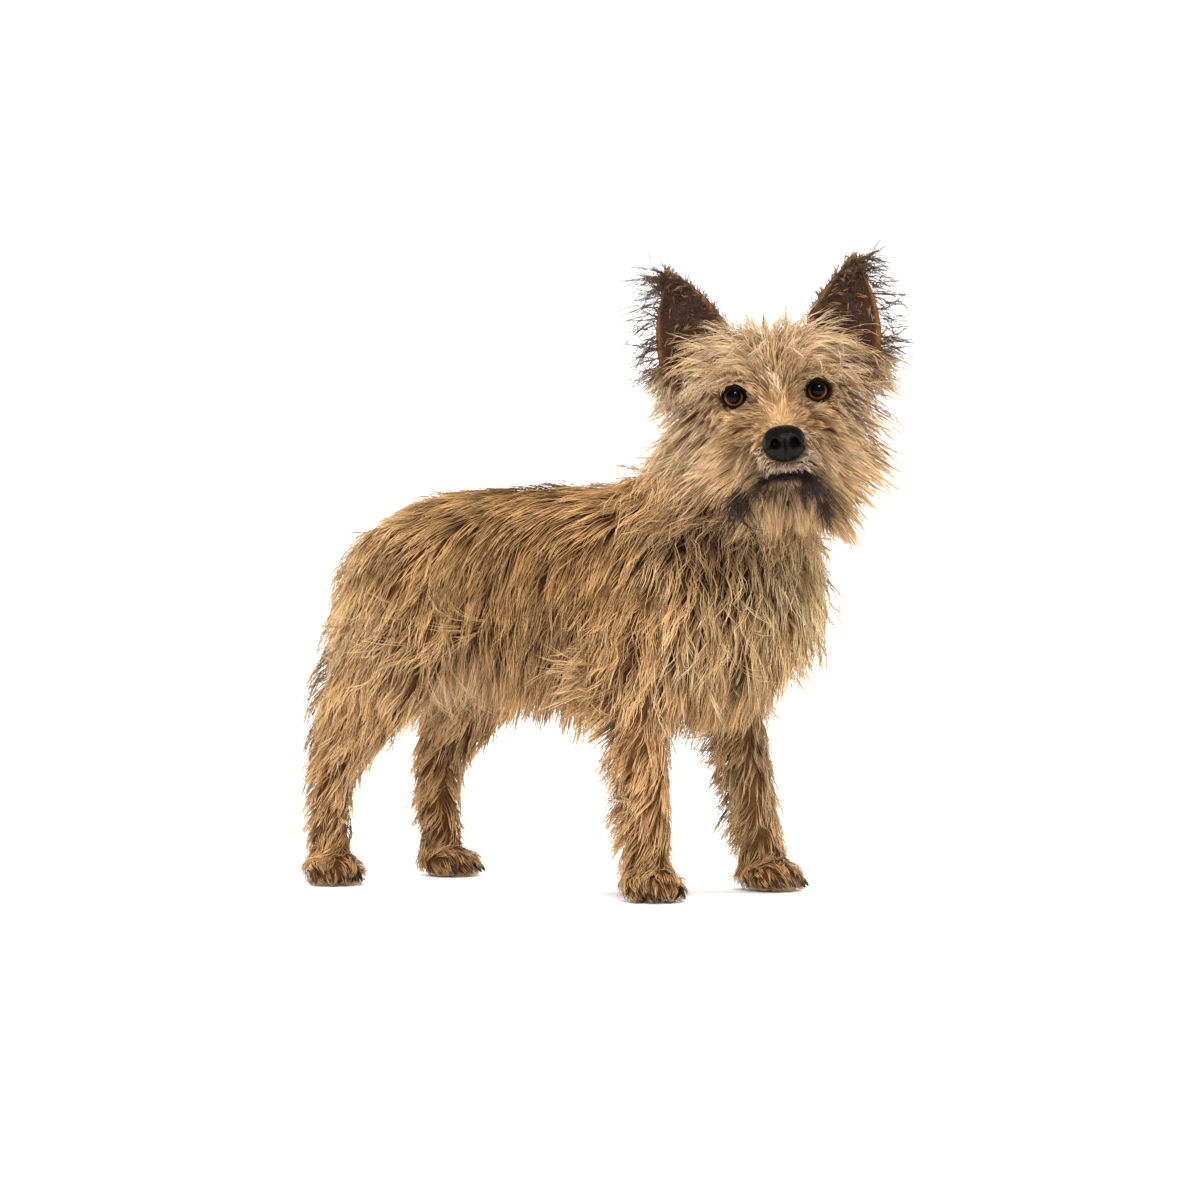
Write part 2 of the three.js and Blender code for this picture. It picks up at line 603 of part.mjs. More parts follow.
const belowFloor = new THREE.BoxGeometry(1000, 1000, 200).translate(0, 0, -100);
for (const { name, form, toeOut } of feet) {
  const ankle = form.middle.getPoint(1);
  const turn = new THREE.Matrix4()
    .makeTranslation(ankle.x, ankle.y, 0)
    .multiply(new THREE.Matrix4().makeRotationZ(degrees(toeOut)));
  const onFoot = (geometry) => geometry.applyMatrix4(turn);
  const toes = [-1.5, -0.5, 0.5, 1.5].map((place) => ({
    at: [paw.length * 0.36 - 5 * Math.abs(place), (place * paw.width) / 4.2, paw.toe * 0.86],
    lean: degrees(place * 7),
  }));
  const locks = legLocks(form, name.startsWith("fore"));
  const over = ["torso", "tail", "neck", `paw_${name}`];
  addNode(`leg_${name}`, sandy, [form.geometry(coreShare)], { locks, over });
  addNode(
    `paw_${name}`,
    sandy,
    [
      onFoot(ellipsoid([2, 0, 11], [paw.length / 2 - 6, paw.width / 2, paw.height / 2], 9, 6)),
      ...toes.map(({ at }) => onFoot(ellipsoid(at, [paw.toe * 1.15, paw.toe * 0.62, paw.toe], 6, 4))),
    ],
    { cuts: [belowFloor] },
  );
  toes.forEach(({ at: [x, y, z], lean }, i) => {
    const along = (far, high) => new THREE.Vector3(x + far * Math.cos(lean), y + far * Math.sin(lean), high);
    const root = paw.toe * 0.55;
    const line = [along(root, z + 1), along(paw.toe + 2, z), along(root + claw.length, z - claw.bend)];
    const bar = onFoot(taperedBar(line, claw.radius, 0.7, 4, 2));
    addNode(`claw_${name}_${i + 1}`, black, [bar], { over: [`paw_${name}`] });
  });
}

// ---- Joining and parting: bodies clear the bodies over them; locks clear every other body and locks over them ----
const bodyOf = ({ pieces }, grow = 0) => Manifold.union(pieces.map((piece) => solid(piece, grow)));
const coatOf = ({ locks }, grow = 0) => Manifold.union(locks.map((lock) => lockSolid(lock, grow)));
const cutFrom = (made, removed) => (removed.length ? Manifold.difference([made, ...removed]) : made);
const grownBodies = new Map([...nodes].map(([name, node]) => [name, bodyOf(node, gap)]));
const grownCoats = new Map([...nodes].map(([name, node]) => [name, coatOf(node, gap)]));

const dog = new THREE.Group();
for (const [name, node] of nodes) {
  const bodiesOver = node.over.map((other) => grownBodies.get(other));
  const body = cutFrom(bodyOf(node), [...bodiesOver, ...node.cuts.map((cut) => solid(cut))]);
  const otherBodies = [...grownBodies].filter(([other]) => other !== name).map(([, grown]) => grown);
  const coatsOver = node.over.map((other) => grownCoats.get(other));
  const coat = node.locks.length ? [cutFrom(coatOf(node), [...otherBodies, ...coatsOver])] : [];
  dog.add(meshOf(name, Manifold.union([body, ...coat]), node.material));
}

// The origin is on the floor, under the middle of everything.
const extent = new THREE.Box3().setFromObject(dog);
const under = extent.getCenter(new THREE.Vector3());
dog.position.set(-under.x, -under.y, 0);

export default dog;
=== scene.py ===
import math
import bpy
import numpy as np
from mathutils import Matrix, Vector
from mathutils.bvhtree import BVHTree
from mathutils.kdtree import KDTree


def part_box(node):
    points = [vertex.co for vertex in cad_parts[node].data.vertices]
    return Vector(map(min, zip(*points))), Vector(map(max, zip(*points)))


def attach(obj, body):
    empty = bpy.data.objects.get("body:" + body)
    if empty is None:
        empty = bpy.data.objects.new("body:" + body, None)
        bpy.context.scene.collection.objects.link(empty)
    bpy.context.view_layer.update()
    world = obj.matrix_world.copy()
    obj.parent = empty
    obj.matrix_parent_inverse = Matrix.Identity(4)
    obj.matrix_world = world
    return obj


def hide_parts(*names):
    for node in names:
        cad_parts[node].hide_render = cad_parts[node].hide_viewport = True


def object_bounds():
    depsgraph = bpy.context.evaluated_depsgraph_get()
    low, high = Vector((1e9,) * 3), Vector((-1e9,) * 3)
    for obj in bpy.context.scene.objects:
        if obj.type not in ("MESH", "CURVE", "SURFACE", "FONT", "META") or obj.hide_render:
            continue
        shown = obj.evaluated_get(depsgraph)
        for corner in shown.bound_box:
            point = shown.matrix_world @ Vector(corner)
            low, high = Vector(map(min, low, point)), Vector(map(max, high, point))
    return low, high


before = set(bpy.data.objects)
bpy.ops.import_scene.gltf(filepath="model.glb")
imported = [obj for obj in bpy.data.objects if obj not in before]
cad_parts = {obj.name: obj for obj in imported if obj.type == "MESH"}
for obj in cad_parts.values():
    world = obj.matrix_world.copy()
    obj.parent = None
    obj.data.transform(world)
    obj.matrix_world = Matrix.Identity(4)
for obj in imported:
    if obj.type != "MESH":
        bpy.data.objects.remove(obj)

# A small rough-coated terrier: one skin under a coat of solid locks. Lengths here are millimetres.
# +X is where the body faces, +Y its left side, +Z up; the head's own frame has +X to the nose.
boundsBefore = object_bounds()
rng = np.random.default_rng(11)
coatRoom = 0.033    # the coat may pass the solids' box by this share of each side
reach = np.array(boundsBefore[1]) + coatRoom * (np.array(boundsBefore[1]) - boundsBefore[0])

# x, y, z of the middle, half width, height above and height below
bodyRows = {
    "torso": [
        (-158, 0, 236, 20, 16, 24), (-146, 0, 231, 42, 36, 40), (-115, 0, 228, 55, 54, 50),
        (-68, 0, 228, 56, 59, 54), (-10, 0, 226, 59, 62, 66), (50, 0, 224, 62, 63, 76),
        (100, 0, 226, 64, 64, 80), (145, 0, 228, 60, 57, 72), (178, 0, 226, 44, 38, 50)],
    "neck": [
        (92, 2, 240, 48, 38, 48), (122, 0, 274, 48, 38, 50), (152, -6, 312, 44, 36, 46),
        (178, -20, 348, 34, 30, 36)],
    "head": [
        (-54, 0, 2, 16, 18, 16), (-40, 0, 2, 36, 37, 34), (-10, 0, 2, 46, 47, 42), (18, 0, -2, 48, 44, 48),
        (38, 0, -10, 41, 34, 46), (53, 0, -20, 31, 23, 40), (68, 0, -30, 25, 20, 32),
        (84, 0, -36, 21, 20, 26), (93, 0, -38, 14, 14, 20)],
    "tail": [
        (-138, 0, 250, 26, 22, 22), (-164, -2, 236, 19, 17, 17), (-177, -4, 208, 13, 12, 12),
        (-188, -6, 178, 10, 9, 9), (-198, -8, 148, 8, 8, 8), (-206, -9, 118, 7, 7, 7),
        (-211, -10, 88, 4, 4, 4)],
    "fore": [
        (100, -40, 236, 16, 32, 26), (98, -50, 205, 21, 34, 31), (93, -56, 168, 18, 24, 27),
        (95, -58, 135, 15, 16, 17), (98, -58, 100, 13, 13, 14), (100, -58, 65, 12, 12, 13),
        (101, -58, 40, 13, 12, 13), (102, -58, 20, 14, 13, 14)],
    "hind": [
        (-118, -34, 262, 18, 30, 26), (-118, -42, 235, 27, 42, 36), (-116, -48, 200, 28, 45, 44),
        (-124, -54, 165, 25, 36, 42), (-146, -56, 130, 19, 24, 27), (-165, -55, 100, 13, 15, 17),
        (-174, -54, 70, 11, 12, 13), (-176, -53, 40, 11, 12, 12), (-176, -53, 20, 12, 13, 13)],
}
stance = {"leftAhead": 29, "leftOut": 7, "hipHeight": 235}
headPose = {"at": (192, -40, 343), "yaw": -59, "roll": 4.5}
eyes = {"at": (36, 29, 12), "radius": 10.5, "bulge": 0.7}
viewpoint = {"at": (1349.97, -2222.06, 216.6), "look": (-0.51168, 0.859176, 0.0), "lens": 106.0}
feet = [
    {"name": "foreRight", "rows": "fore", "side": 1, "toeOut": -42},
    {"name": "foreLeft", "rows": "fore", "side": -1, "toeOut": -8},
    {"name": "hindRight", "rows": "hind", "side": 1, "toeOut": -42},
    {"name": "hindLeft", "rows": "hind", "side": -1, "toeOut": -4},
]


def rowsOf(columns, rows):
    # rows of values under one line of column names
    return [dict(zip(columns.split(), row)) for row in rows]


def named(columns, rows):
    return {row["name"]: row for row in rowsOf(columns, rows)}


def unit(v):
    return v / np.maximum(np.linalg.norm(v, axis=-1, keepdims=True), 1e-9)


def dot(a, b):
    return (a * b).sum(-1, keepdims=True)


def blend(a, b, share):
    return a * (1 - share) + b * share


def smooth(low, high, x):
    t = np.clip((x - low) / (high - low), 0, 1)
    return t * t * (3 - 2 * t)


def turnAbout(axis, degrees):
    c, s = math.cos(math.radians(degrees)), math.sin(math.radians(degrees))
    if axis == "z":
        return np.array([[c, -s, 0], [s, c, 0], [0, 0, 1.0]])
    if axis == "y":
        return np.array([[c, 0, s], [0, 1, 0], [-s, 0, c]])
    return np.array([[1.0, 0, 0], [0, c, -s], [0, s, c]])


headTurn = turnAbout("z", headPose["yaw"]) @ turnAbout("x", headPose["roll"])
headAt = np.array(headPose["at"], float)


def fromHead(points):
    return np.asarray(points, float) @ headTurn.T + headAt


def toHead(points):
    return (points - headAt) @ headTurn


def eyeMiddle(side):
    return np.array(eyes["at"], float) * (1, side, 1)


def eyeTurn(side, share=1.0):
    # turns the eye's own +X toward the viewpoint by this share
    way = unit((np.array(viewpoint["at"]) - fromHead(eyeMiddle(side))) @ headTurn)
    yaw, pitch = math.degrees(math.atan2(way[1], way[0])), math.degrees(math.asin(way[2]))
    return turnAbout("z", yaw * share) @ turnAbout("y", -pitch * share)


# the eye of the frame gives the way from these millimetres to its metres
low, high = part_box("eye_left")
shift = np.array((low + high) / 2) - fromHead(eyes["at"]) / 1000


def toWorld(points):
    return np.asarray(points, float) / 1000 + shift


def curveAt(rows, share):
    # rows of values joined by one smooth curve, read at this share of its length
    rows = np.asarray(rows, float)
    spans = len(rows) - 1
    place = np.clip(share, 0, 1) * spans
    i = np.minimum(place.astype(int), spans - 1)
    w = (place - i)[..., None]
    ends = np.vstack([2 * rows[0] - rows[1], rows, 2 * rows[-1] - rows[-2]])
    a, b, c, d = ends[i], ends[i + 1], ends[i + 2], ends[i + 3]
    m, n = (c - a) / 2, (d - b) / 2
    return (2 * b - 2 * c + m + n) * w**3 + (3 * c - 3 * b - 2 * m - n) * w**2 + m * w + b


class Form:
    # a rounded body along a smooth centre line; cap is the share of it that rounds off at each end
    def __init__(self, rows, cap, onHead=False):
        self.rows, self.cap, self.onHead = np.array(rows, float), cap, onHead

    def surface(self, share, angle):
        share, angle = np.broadcast_arrays(np.asarray(share, float), np.asarray(angle, float))
        values = curveAt(self.rows, share)
        before, after = np.clip(share - 1e-4, 0, 1), np.clip(share + 1e-4, 0, 1)
        ahead = unit(curveAt(self.rows, after)[..., :3] - curveAt(self.rows, before)[..., :3])
        side = unit(np.array([0, 1.0, 0]) - ahead * ahead[..., 1:2])
        up = np.cross(ahead, side)
        near = np.minimum(1, np.minimum(share, 1 - share) / self.cap)
        full = np.sqrt(1 - (1 - near) ** 2)
        tall = np.where(np.sin(angle) > 0, values[..., 4], values[..., 5])
        across = (np.cos(angle) * (values[..., 3] * full))[..., None]
        rise = (np.sin(angle) * (tall * full))[..., None]
        points = values[..., :3] + side * across + up * rise
        return fromHead(points) if self.onHead else points


def legRows(foot):
    left = foot["side"] < 0
    ahead, out = (stance["leftAhead"], stance["leftOut"]) if left else (0, 0)
    rows = []
    for x, y, z, *sizes in bodyRows[foot["rows"]]:
        down = 1 - min(1, z / stance["hipHeight"])
        rows.append((x + ahead * down, foot["side"] * (y - out * down), z, *sizes))
    return rows


forms = {
    "torso": Form(bodyRows["torso"], 0.06), "neck": Form(bodyRows["neck"], 0.1),
    "head": Form(bodyRows["head"], 0.07, onHead=True), "tail": Form(bodyRows["tail"], 0.06)}
for foot in feet:
    forms[foot["name"]] = Form(legRows(foot), 0.04)
    foot["ankle"] = forms[foot["name"]].rows[-1][:3] * (1, 1, 0)


def onFoot(foot, points):
    return np.asarray(points, float) @ turnAbout("z", foot["toeOut"]).T + foot["ankle"]


def turnsOf(sides):
    return np.arange(sides) * 2 * np.pi / sides


def ballGrid(rings, sides):
    # the angle from the pole, and the points of a ball of radius 1 with its pole along +X
    polar, turn = np.meshgrid(np.pi * np.arange(1, rings) / rings, turnsOf(sides), indexing="ij")
    return polar, np.stack([np.cos(polar), np.sin(polar) * np.cos(turn), np.sin(polar) * np.sin(turn)], -1)


def gridFaces(rings, sides, first=0):
    # quads between rings of points that close round
    i, j = np.meshgrid(np.arange(rings - 1), np.arange(sides), indexing="ij")
    a, b = first + i * sides + j, first + i * sides + (j + 1) % sides
    return np.stack([a, b, b + sides, a + sides], -1).reshape(-1, 4).tolist()


def ballMesh(points, start, end):
    # rings of points (rings, sides, 3) closed by a point at each end
    rings, sides, _ = points.shape
    verts = np.vstack([[start], points.reshape(-1, 3), [end]])
    last = len(verts) - 1
    faces = gridFaces(rings, sides, 1)
    faces += [[0, 1 + (j + 1) % sides, 1 + j] for j in range(sides)]
    faces += [[last, last - sides + j, last - sides + (j + 1) % sides] for j in range(sides)]
    return verts, faces


def loft(form, rings, sides):
    shares = (1 - np.cos(np.pi * np.arange(1, rings) / rings)) / 2
    share, angle = np.meshgrid(shares, turnsOf(sides), indexing="ij")
    return ballMesh(form.surface(share, angle), form.surface(0, 0), form.surface(1, 0))


def ellipsoid(middle, radii, rings=24, sides=32):
    around = ballGrid(rings, sides)[1][..., [1, 2, 0]]
    middle, radii = np.array(middle, float), np.array(radii, float)
    up = np.array([0, 0, 1.0])
    return ballMesh(middle + around * radii, middle + up * radii, middle - up * radii)


def join(parts):
    verts, faces, count = [], [], 0
    for points, polys in parts:
        verts.append(points)
        faces += [[i + count for i in poly] for poly in polys]
        count += len(points)
    return np.vstack(verts), faces


def addPiece(name, points, faces, material, tint=None):
    mesh = bpy.data.meshes.new(name)
    mesh.from_pydata(toWorld(points).tolist(), [], faces)
    mesh.polygons.foreach_set("use_smooth", np.ones(len(mesh.polygons), bool))
    if tint is not None:
        paintPoints(mesh, tint)
    return keep(name, mesh, material)


def placeObject(name, data):
    made = bpy.data.objects.new(name, data)
    bpy.context.scene.collection.objects.link(made)
    return made


def keep(name, mesh, material):
    piece = placeObject(name, mesh)
    mesh.materials.append(material)
    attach(piece, "root")
    return piece


def paintPoints(mesh, tint):
    layer = mesh.color_attributes.new("tint", "FLOAT_COLOR", "POINT")
    layer.data.foreach_set("color", np.hstack([tint, np.ones((len(tint), 1))]).ravel())


class Wire:
    # a socket that can be used in sums
    def __init__(self, shader, socket):
        self.shader, self.socket = shader, socket

    def sum(self, kind, a, b):
        return self.shader.node("ShaderNodeMath", {"operation": kind}, {0: a, 1: b})

    def __add__(self, other):
        return self.sum("ADD", self, other)

    def __radd__(self, other):
        return self.sum("ADD", other, self)

    def __sub__(self, other):
        return self.sum("SUBTRACT", self, other)

    def __rsub__(self, other):
        return self.sum("SUBTRACT", other, self)

    def __mul__(self, other):
        return self.sum("MULTIPLY", self, other)

    def __rmul__(self, other):
        return self.sum("MULTIPLY", other, self)

    def __truediv__(self, other):
        return self.sum("DIVIDE", self, other)

    def __rtruediv__(self, other):
        return self.sum("DIVIDE", other, self)


class Shader:
    # one material; fixed holds the constants of its sockets
    def __init__(self, name, fixed):
        self.material = bpy.data.materials.new(name)
        self.material.use_nodes = True
        self.tree = self.material.node_tree
        self.surface = self.tree.nodes["Principled BSDF"]
        for socket, value in fixed.items():
            self.surface.inputs[socket].default_value = value

    def node(self, kind, settings=None, values=None, out=0):
        made = self.tree.nodes.new(kind)
        for key, value in (settings or {}).items():
            if key == "stops":
                ramp = made.color_ramp
                while len(ramp.elements) < len(value):
                    ramp.elements.new(0.5)
                for element, (place, tone) in zip(ramp.elements, value):
                    element.position, element.color = place, (*tone, 1)
            else:
                setattr(made, key, value)
        for key, value in (values or {}).items():
            if isinstance(value, Wire):
                self.tree.links.new(value.socket, made.inputs[key])
            else:
                made.inputs[key].default_value = value
        return Wire(self, made.outputs[out])

    def attribute(self, name, out="Color"):
        return self.node("ShaderNodeAttribute", {"attribute_name": name}, out=out)

    def place(self):
        return self.node("ShaderNodeTexCoord", out="Object")

    def noise(self, scale, detail):
        values = {"Vector": self.place(), "Scale": scale, "Detail": detail}
        return self.node("ShaderNodeTexNoise", {}, values, "Fac")

    def shaded(self, tone, value):
        # a colour made darker or lighter by a value
        grey = self.node("ShaderNodeCombineColor", {}, {"Red": value, "Green": value, "Blue": value}, "Color")
        kind = {"data_type": "RGBA", "blend_type": "MULTIPLY"}
        return self.node("ShaderNodeMix", kind, {0: 1.0, 6: tone, 7: grey}, 2)

    def ramp(self, factor, *stops):
        return self.node("ShaderNodeValToRGB", {"stops": stops}, {"Fac": factor}, "Color")

    def feed(self, socket, wire):
        self.tree.links.new(wire.socket, self.surface.inputs[socket])

    def bump(self, height, distance, strength=1.0):
        values = {"Height": height, "Distance": distance, "Strength": strength}
        self.feed("Normal", self.node("ShaderNodeBump", {}, values, "Normal"))


def colour(*screen):
    # a screen colour out of 255 as linear light
    return np.array([((c / 255 + 0.055) / 1.055) ** 2.4 if c > 10 else c / 255 / 12.92 for c in screen])


def coatFinish():
    shader = Shader("roughCoat", {"Roughness": 0.62, "Specular IOR Level": 0.2})
    patch = 0.86 + 0.28 * shader.noise(90, 3)
    shader.feed("Base Color", shader.shaded(shader.attribute("tint"), patch))
    return shader.material


def skinFinish():
    shader = Shader("skinUnderCoat", {"Roughness": 0.8, "Specular IOR Level": 0.2})
    grain = shader.noise(700, 4)
    shader.feed("Base Color", shader.shaded(shader.attribute("tint"), 0.55 + 0.5 * grain))
    shader.bump(grain, 0.0012)
    return shader.material


def noseFinish():
    shader = Shader("noseLeather", {"Roughness": 0.26, "Specular IOR Level": 0.12})
    pebbles = shader.node("ShaderNodeTexVoronoi", {}, {"Vector": shader.place(), "Scale": 900}, "Distance")
    shader.feed("Base Color", shader.ramp(pebbles, (0.0, colour(15, 12, 10)), (1.0, colour(5, 4, 4))))
    shader.bump(1.0 - pebbles, 0.0003, 0.6)
    return shader.material


def eyeFinish():
    shader = Shader("wetEye", {
        "Roughness": 0.4, "Specular IOR Level": 0.0, "Coat Weight": 0.4, "Coat Roughness": 0.02,
        "Coat IOR": 1.36})
    rays = shader.noise(1500, 2)
    ring = shader.attribute("ring", "Fac") / 8 + (rays - 0.5) * 0.03
    iris = shader.ramp(     # pupil, amber iris with its dark edges, and the shaded white
        ring, (0.0, colour(3, 2, 2)), (0.55, colour(6, 4, 4)), (0.6, colour(70, 35, 14)),
        (0.69, colour(136, 76, 32)), (0.77, colour(98, 54, 25)), (0.84, colour(22, 13, 9)),
        (1.0, colour(14, 9, 8)))
    # the shade value paints the upper lid's shadow over the top of the iris
    shader.feed("Base Color", shader.shaded(iris, shader.attribute("shade", "Fac")))
    return shader.material


def lidFinish():
    shader = Shader("lidSkin", {"Roughness": 0.6, "Specular IOR Level": 0.04})
    shader.feed("Base Color", shader.attribute("tint"))
    shader.bump(shader.noise(900, 3), 0.0004)
    return shader.material


def plainFinish(name, tone, fixed, bumps=0.0):
    shader = Shader(name, {"Base Color": (*tone, 1), **fixed})
    if bumps:
        shader.bump(shader.noise(600, 3), bumps)
    return shader.material


coatLook, skinLook = coatFinish(), skinFinish()

# markings and painted shading, shared by skin and coat: root and tip colour of the hair about each place
baseMarks = {
    "tip": (222, 178, 122), "root": (94, 58, 24), "falloff": 1.4,
    "head": (28, 0, -12), "headRadii": (92, 104, 96), "headEdge": 1.25}
bodyMarksAndShading = rowsOf("at reach tip root amount", [
    ((-30, 0, 300), (150, 110, 36), (146, 108, 62), (62, 37, 13), 0.95),
    ((-30, 0, 304), (150, 34, 24), (112, 78, 40), (48, 28, 9), 0.8),
    ((0, 0, 215), (100, 150, 55), (154, 115, 67), (66, 39, 14), 0.95),
    ((-150, 0, 215), (50, 130, 60), (255, 216, 160), (128, 84, 40), 0.9),
    ((-140, 0, 160), (50, 130, 40), (255, 228, 184), (166, 120, 72), 0.9),
    ((-170, 0, 80), (60, 90, 50), (252, 206, 152), (122, 84, 44), 0.9),
    ((-80, 0, 150), (28, 50, 26), (230, 208, 178), (120, 96, 68), 0.8),
    ((205, 0, 195), (64, 80, 62), (255, 230, 180), (172, 124, 70), 0.95),
    ((60, 0, 145), (150, 120, 24), (136, 108, 78), (72, 52, 32), 0.9),
    ((112, -74, 318), (36, 34, 32), (252, 230, 192), (122, 86, 50), 1.0),
    # painted shade: the throat darker where the head shades it
    ((152, -62, 246), (48, 52, 50), (76, 41, 11), (34, 17, 4), 1.0),
    # painted light: lighter below the throat, against the shade the head casts there
    ((110, -68, 212), (32, 40, 28), (250, 206, 150), (120, 80, 40), 0.8),
    ((105, -58, 100), (40, 40, 70), (248, 202, 148), (138, 95, 53), 0.95),
    ((135, 60, 100), (40, 40, 70), (255, 220, 172), (138, 100, 60), 0.95),
    ((-214, -9, 118), (44, 30, 80), (92, 66, 42), (40, 27, 18), 1.0),
    ((0, 0, 8), (400, 200, 18), (204, 158, 106), (100, 66, 34), 0.9),
])
# in the head's frame, the same on both sides
headMarksAndShading = rowsOf("at reach tip root amount", [
    ((0, 0, 0), (120, 110, 120), (240, 205, 160), (126, 90, 52), 0.95),
    ((20, 0, 44), (34, 44, 24), (255, 226, 186), (186, 146, 100), 0.9),
    ((42, 30, 31), (20, 17, 9), (250, 212, 164), (188, 146, 98), 0.85),
    ((66, 0, -6), (26, 15, 16), (240, 210, 170), (210, 166, 112), 1.0),
    ((44, 0, 18), (12, 3, 14), (240, 216, 178), (200, 166, 124), 0.6),
    ((48, 32, -12), (14, 14, 12), (196, 150, 100), (122, 84, 46), 0.85),
    ((20, 66, -20), (40, 22, 40), (230, 202, 164), (132, 98, 62), 0.8),
    ((76, 22, -38), (20, 16, 13), (208, 184, 156), (112, 88, 66), 0.9),
    ((90, 0, -33), (14, 18, 8), (158, 138, 118), (50, 40, 34), 1.0),
    ((88, 0, -42), (12, 14, 5), (168, 148, 132), (84, 70, 60), 0.9),
    # painted shade: darker under the jaw, where the head shades the throat
    ((6, 34, -74), (46, 40, 20), (140, 98, 52), (60, 38, 14), 0.9),
    ((78, 22, -49), (22, 11, 9), (106, 83, 64), (43, 32, 25), 0.85),
    ((84, 0, -66), (26, 22, 22), (152, 126, 100), (116, 94, 73), 1.0),
    ((66, 31, -68), (34, 9, 20), (70, 52, 40), (40, 29, 22), 0.9),
    ((88, 36, -68), (24, 9, 14), (66, 49, 38), (50, 37, 28), 0.85),
    ((86, 0, -47), (20, 17, 2.6), (34, 26, 22), (22, 16, 14), 0.95),
    ((44, 29, 12), (16, 12.5, 11), (82, 58, 40), (34, 24, 17), 1.0),
    ((56, 18, 4), (8, 5, 5), (56, 40, 30), (32, 23, 18), 0.9),
])


def markingsAndShading(points):
    tip, root = [np.tile(colour(*baseMarks[key]), (len(points), 1)) for key in ("tip", "root")]
    local = toHead(points)
    local[:, 1] = abs(local[:, 1])
    fromMiddle = np.linalg.norm((local - baseMarks["head"]) / baseMarks["headRadii"], axis=1)
    isHead = smooth(baseMarks["headEdge"], 1.0, fromMiddle)
    for marks, places, most in ((bodyMarksAndShading, points, 1.0), (headMarksAndShading, local, isHead)):
        for mark in marks:
            far = np.linalg.norm((places - mark["at"]) / mark["reach"], axis=1)
            amount = (np.exp(-(far**2) * baseMarks["falloff"]) * mark["amount"] * most)[:, None]
            tip = blend(tip, colour(*mark["tip"]), amount)
            root = blend(root, colour(*mark["root"]), amount)
    return root, tip


skin = {
    "fine": (70, 72), "coarse": (60, 40), "voxel": 2.5, "settle": 6, "underCoat": 0.9,
    "lid": 1.2, "brow": (-4, 0, 9), "browRadii": (9, 13, 7), "headSize": 120,
    "socket": (8.0, 10.0, 16.0, 20.0), "socketDepth": (4.0, 6.0, 18.0, 70.0), "socketReach": 9.0,
    "paw": (2, 0, 11), "pawRadii": (19.5, 17.5, 12.5), "sole": 1.2,
    "toeAhead": 20.2, "toeBack": 5, "toeApart": 41 / 4.2, "toeHigh": 9.0, "toeLean": 7,
    "toeRadii": (10, 5, 8.2)}


def toePlaces():
    # middle of each toe in the foot's frame, and its lean
    places = []
    for k in (-1.5, -0.5, 0.5, 1.5):
        ahead = skin["toeAhead"] - skin["toeBack"] * abs(k)
        places.append(((ahead, k * skin["toeApart"], skin["toeHigh"]), skin["toeLean"] * k))
    return places


def pawMeshes(foot):
    parts = [ellipsoid(skin["paw"], skin["pawRadii"])]
    parts += [ellipsoid(at, skin["toeRadii"]) for at, _ in toePlaces()]
    return [(onFoot(foot, np.maximum(points, (-1e3, -1e3, skin["sole"]))), faces) for points, faces in parts]


def skinForms():
    parts = []
    for name, form in forms.items():
        parts.append(loft(form, *skin["fine" if name in ("torso", "head", "neck") else "coarse"]))
    for foot in feet:
        parts += pawMeshes(foot)
    for side in (-1, 1):
        for offset, radii in ((0, [eyes["radius"] + skin["lid"]] * 3), (skin["brow"], skin["browRadii"])):
            points, faces = ellipsoid(eyeMiddle(side) + offset, radii)
            parts.append((fromHead(points), faces))
    return join(parts)


def remeshed(points, faces):
    # one closed mesh round all the forms: its points, edges and faces
    rough = bpy.data.meshes.new("rough")
    rough.from_pydata((points / 1000).tolist(), [], faces)
    holder = placeObject("rough", rough)
    remesh = holder.modifiers.new("remesh", "REMESH")
    remesh.mode, remesh.voxel_size = "VOXEL", skin["voxel"] / 1000
    mesh = bpy.data.meshes.new_from_object(holder.evaluated_get(bpy.context.evaluated_depsgraph_get()))
    bpy.data.objects.remove(holder)
    points = np.zeros(len(mesh.vertices) * 3)
    mesh.vertices.foreach_get("co", points)
    edges = np.zeros(len(mesh.edges) * 2, int)
    mesh.edges.foreach_get("vertices", edges)
    polys = [list(p.vertices) for p in mesh.polygons]
    bpy.data.meshes.remove(mesh)
    return points.reshape(-1, 3) * 1000, edges.reshape(-1, 2), polys


def settled(points, edges):
    # every point moves half-way to the middle of those beside it, a few times
    count = len(points)
    beside = np.bincount(edges.ravel(), minlength=count)[:, None]
    for _ in range(skin["settle"]):
        total = np.zeros((count, 3))
        for ends, others in (edges.T, edges.T[::-1]):
            for k in range(3):
                total[:, k] += np.bincount(ends, points[others, k], count)
        points = points + (total / beside - points) * 0.5
    return points


def openSockets(points):
    # no skin stands before the ball of an eye
    local = toHead(points)
    for side in (-1, 1):
        seen = (local - eyeMiddle(side)) @ eyeTurn(side)
        off = np.linalg.norm(seen[:, 1:], axis=1)
        onBall = np.sqrt(np.maximum(skin["socketReach"] ** 2 - off**2, 4))
        most = np.where(off < skin["socket"][0], onBall, np.interp(off, skin["socket"], skin["socketDepth"]))
        before = (off < skin["socket"][-1]) & (seen[:, 0] > 0)
        seen[:, 0] = np.where(before, np.minimum(seen[:, 0], most), seen[:, 0])
        local = seen @ eyeTurn(side).T + eyeMiddle(side)
    onHead = np.linalg.norm(local, axis=1, keepdims=True) < skin["headSize"]
    return np.where(onHead, fromHead(local), points)


skinPoints, skinEdges, skinPolys = remeshed(*skinForms())
skinPoints = openSockets(settled(skinPoints, skinEdges))
skinTint = markingsAndShading(skinPoints)[0] * skin["underCoat"]
skinPiece = addPiece("skin", skinPoints, skinPolys, skinLook, tint=skinTint)
fleshNodes = [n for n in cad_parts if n.split("_")[0] in ("head", "neck", "torso", "tail", "leg", "paw")]
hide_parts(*fleshNodes)
skinTree = BVHTree.FromPolygons(skinPoints.tolist(), skinPolys)
print("skin:", len(skinPolys), "faces")


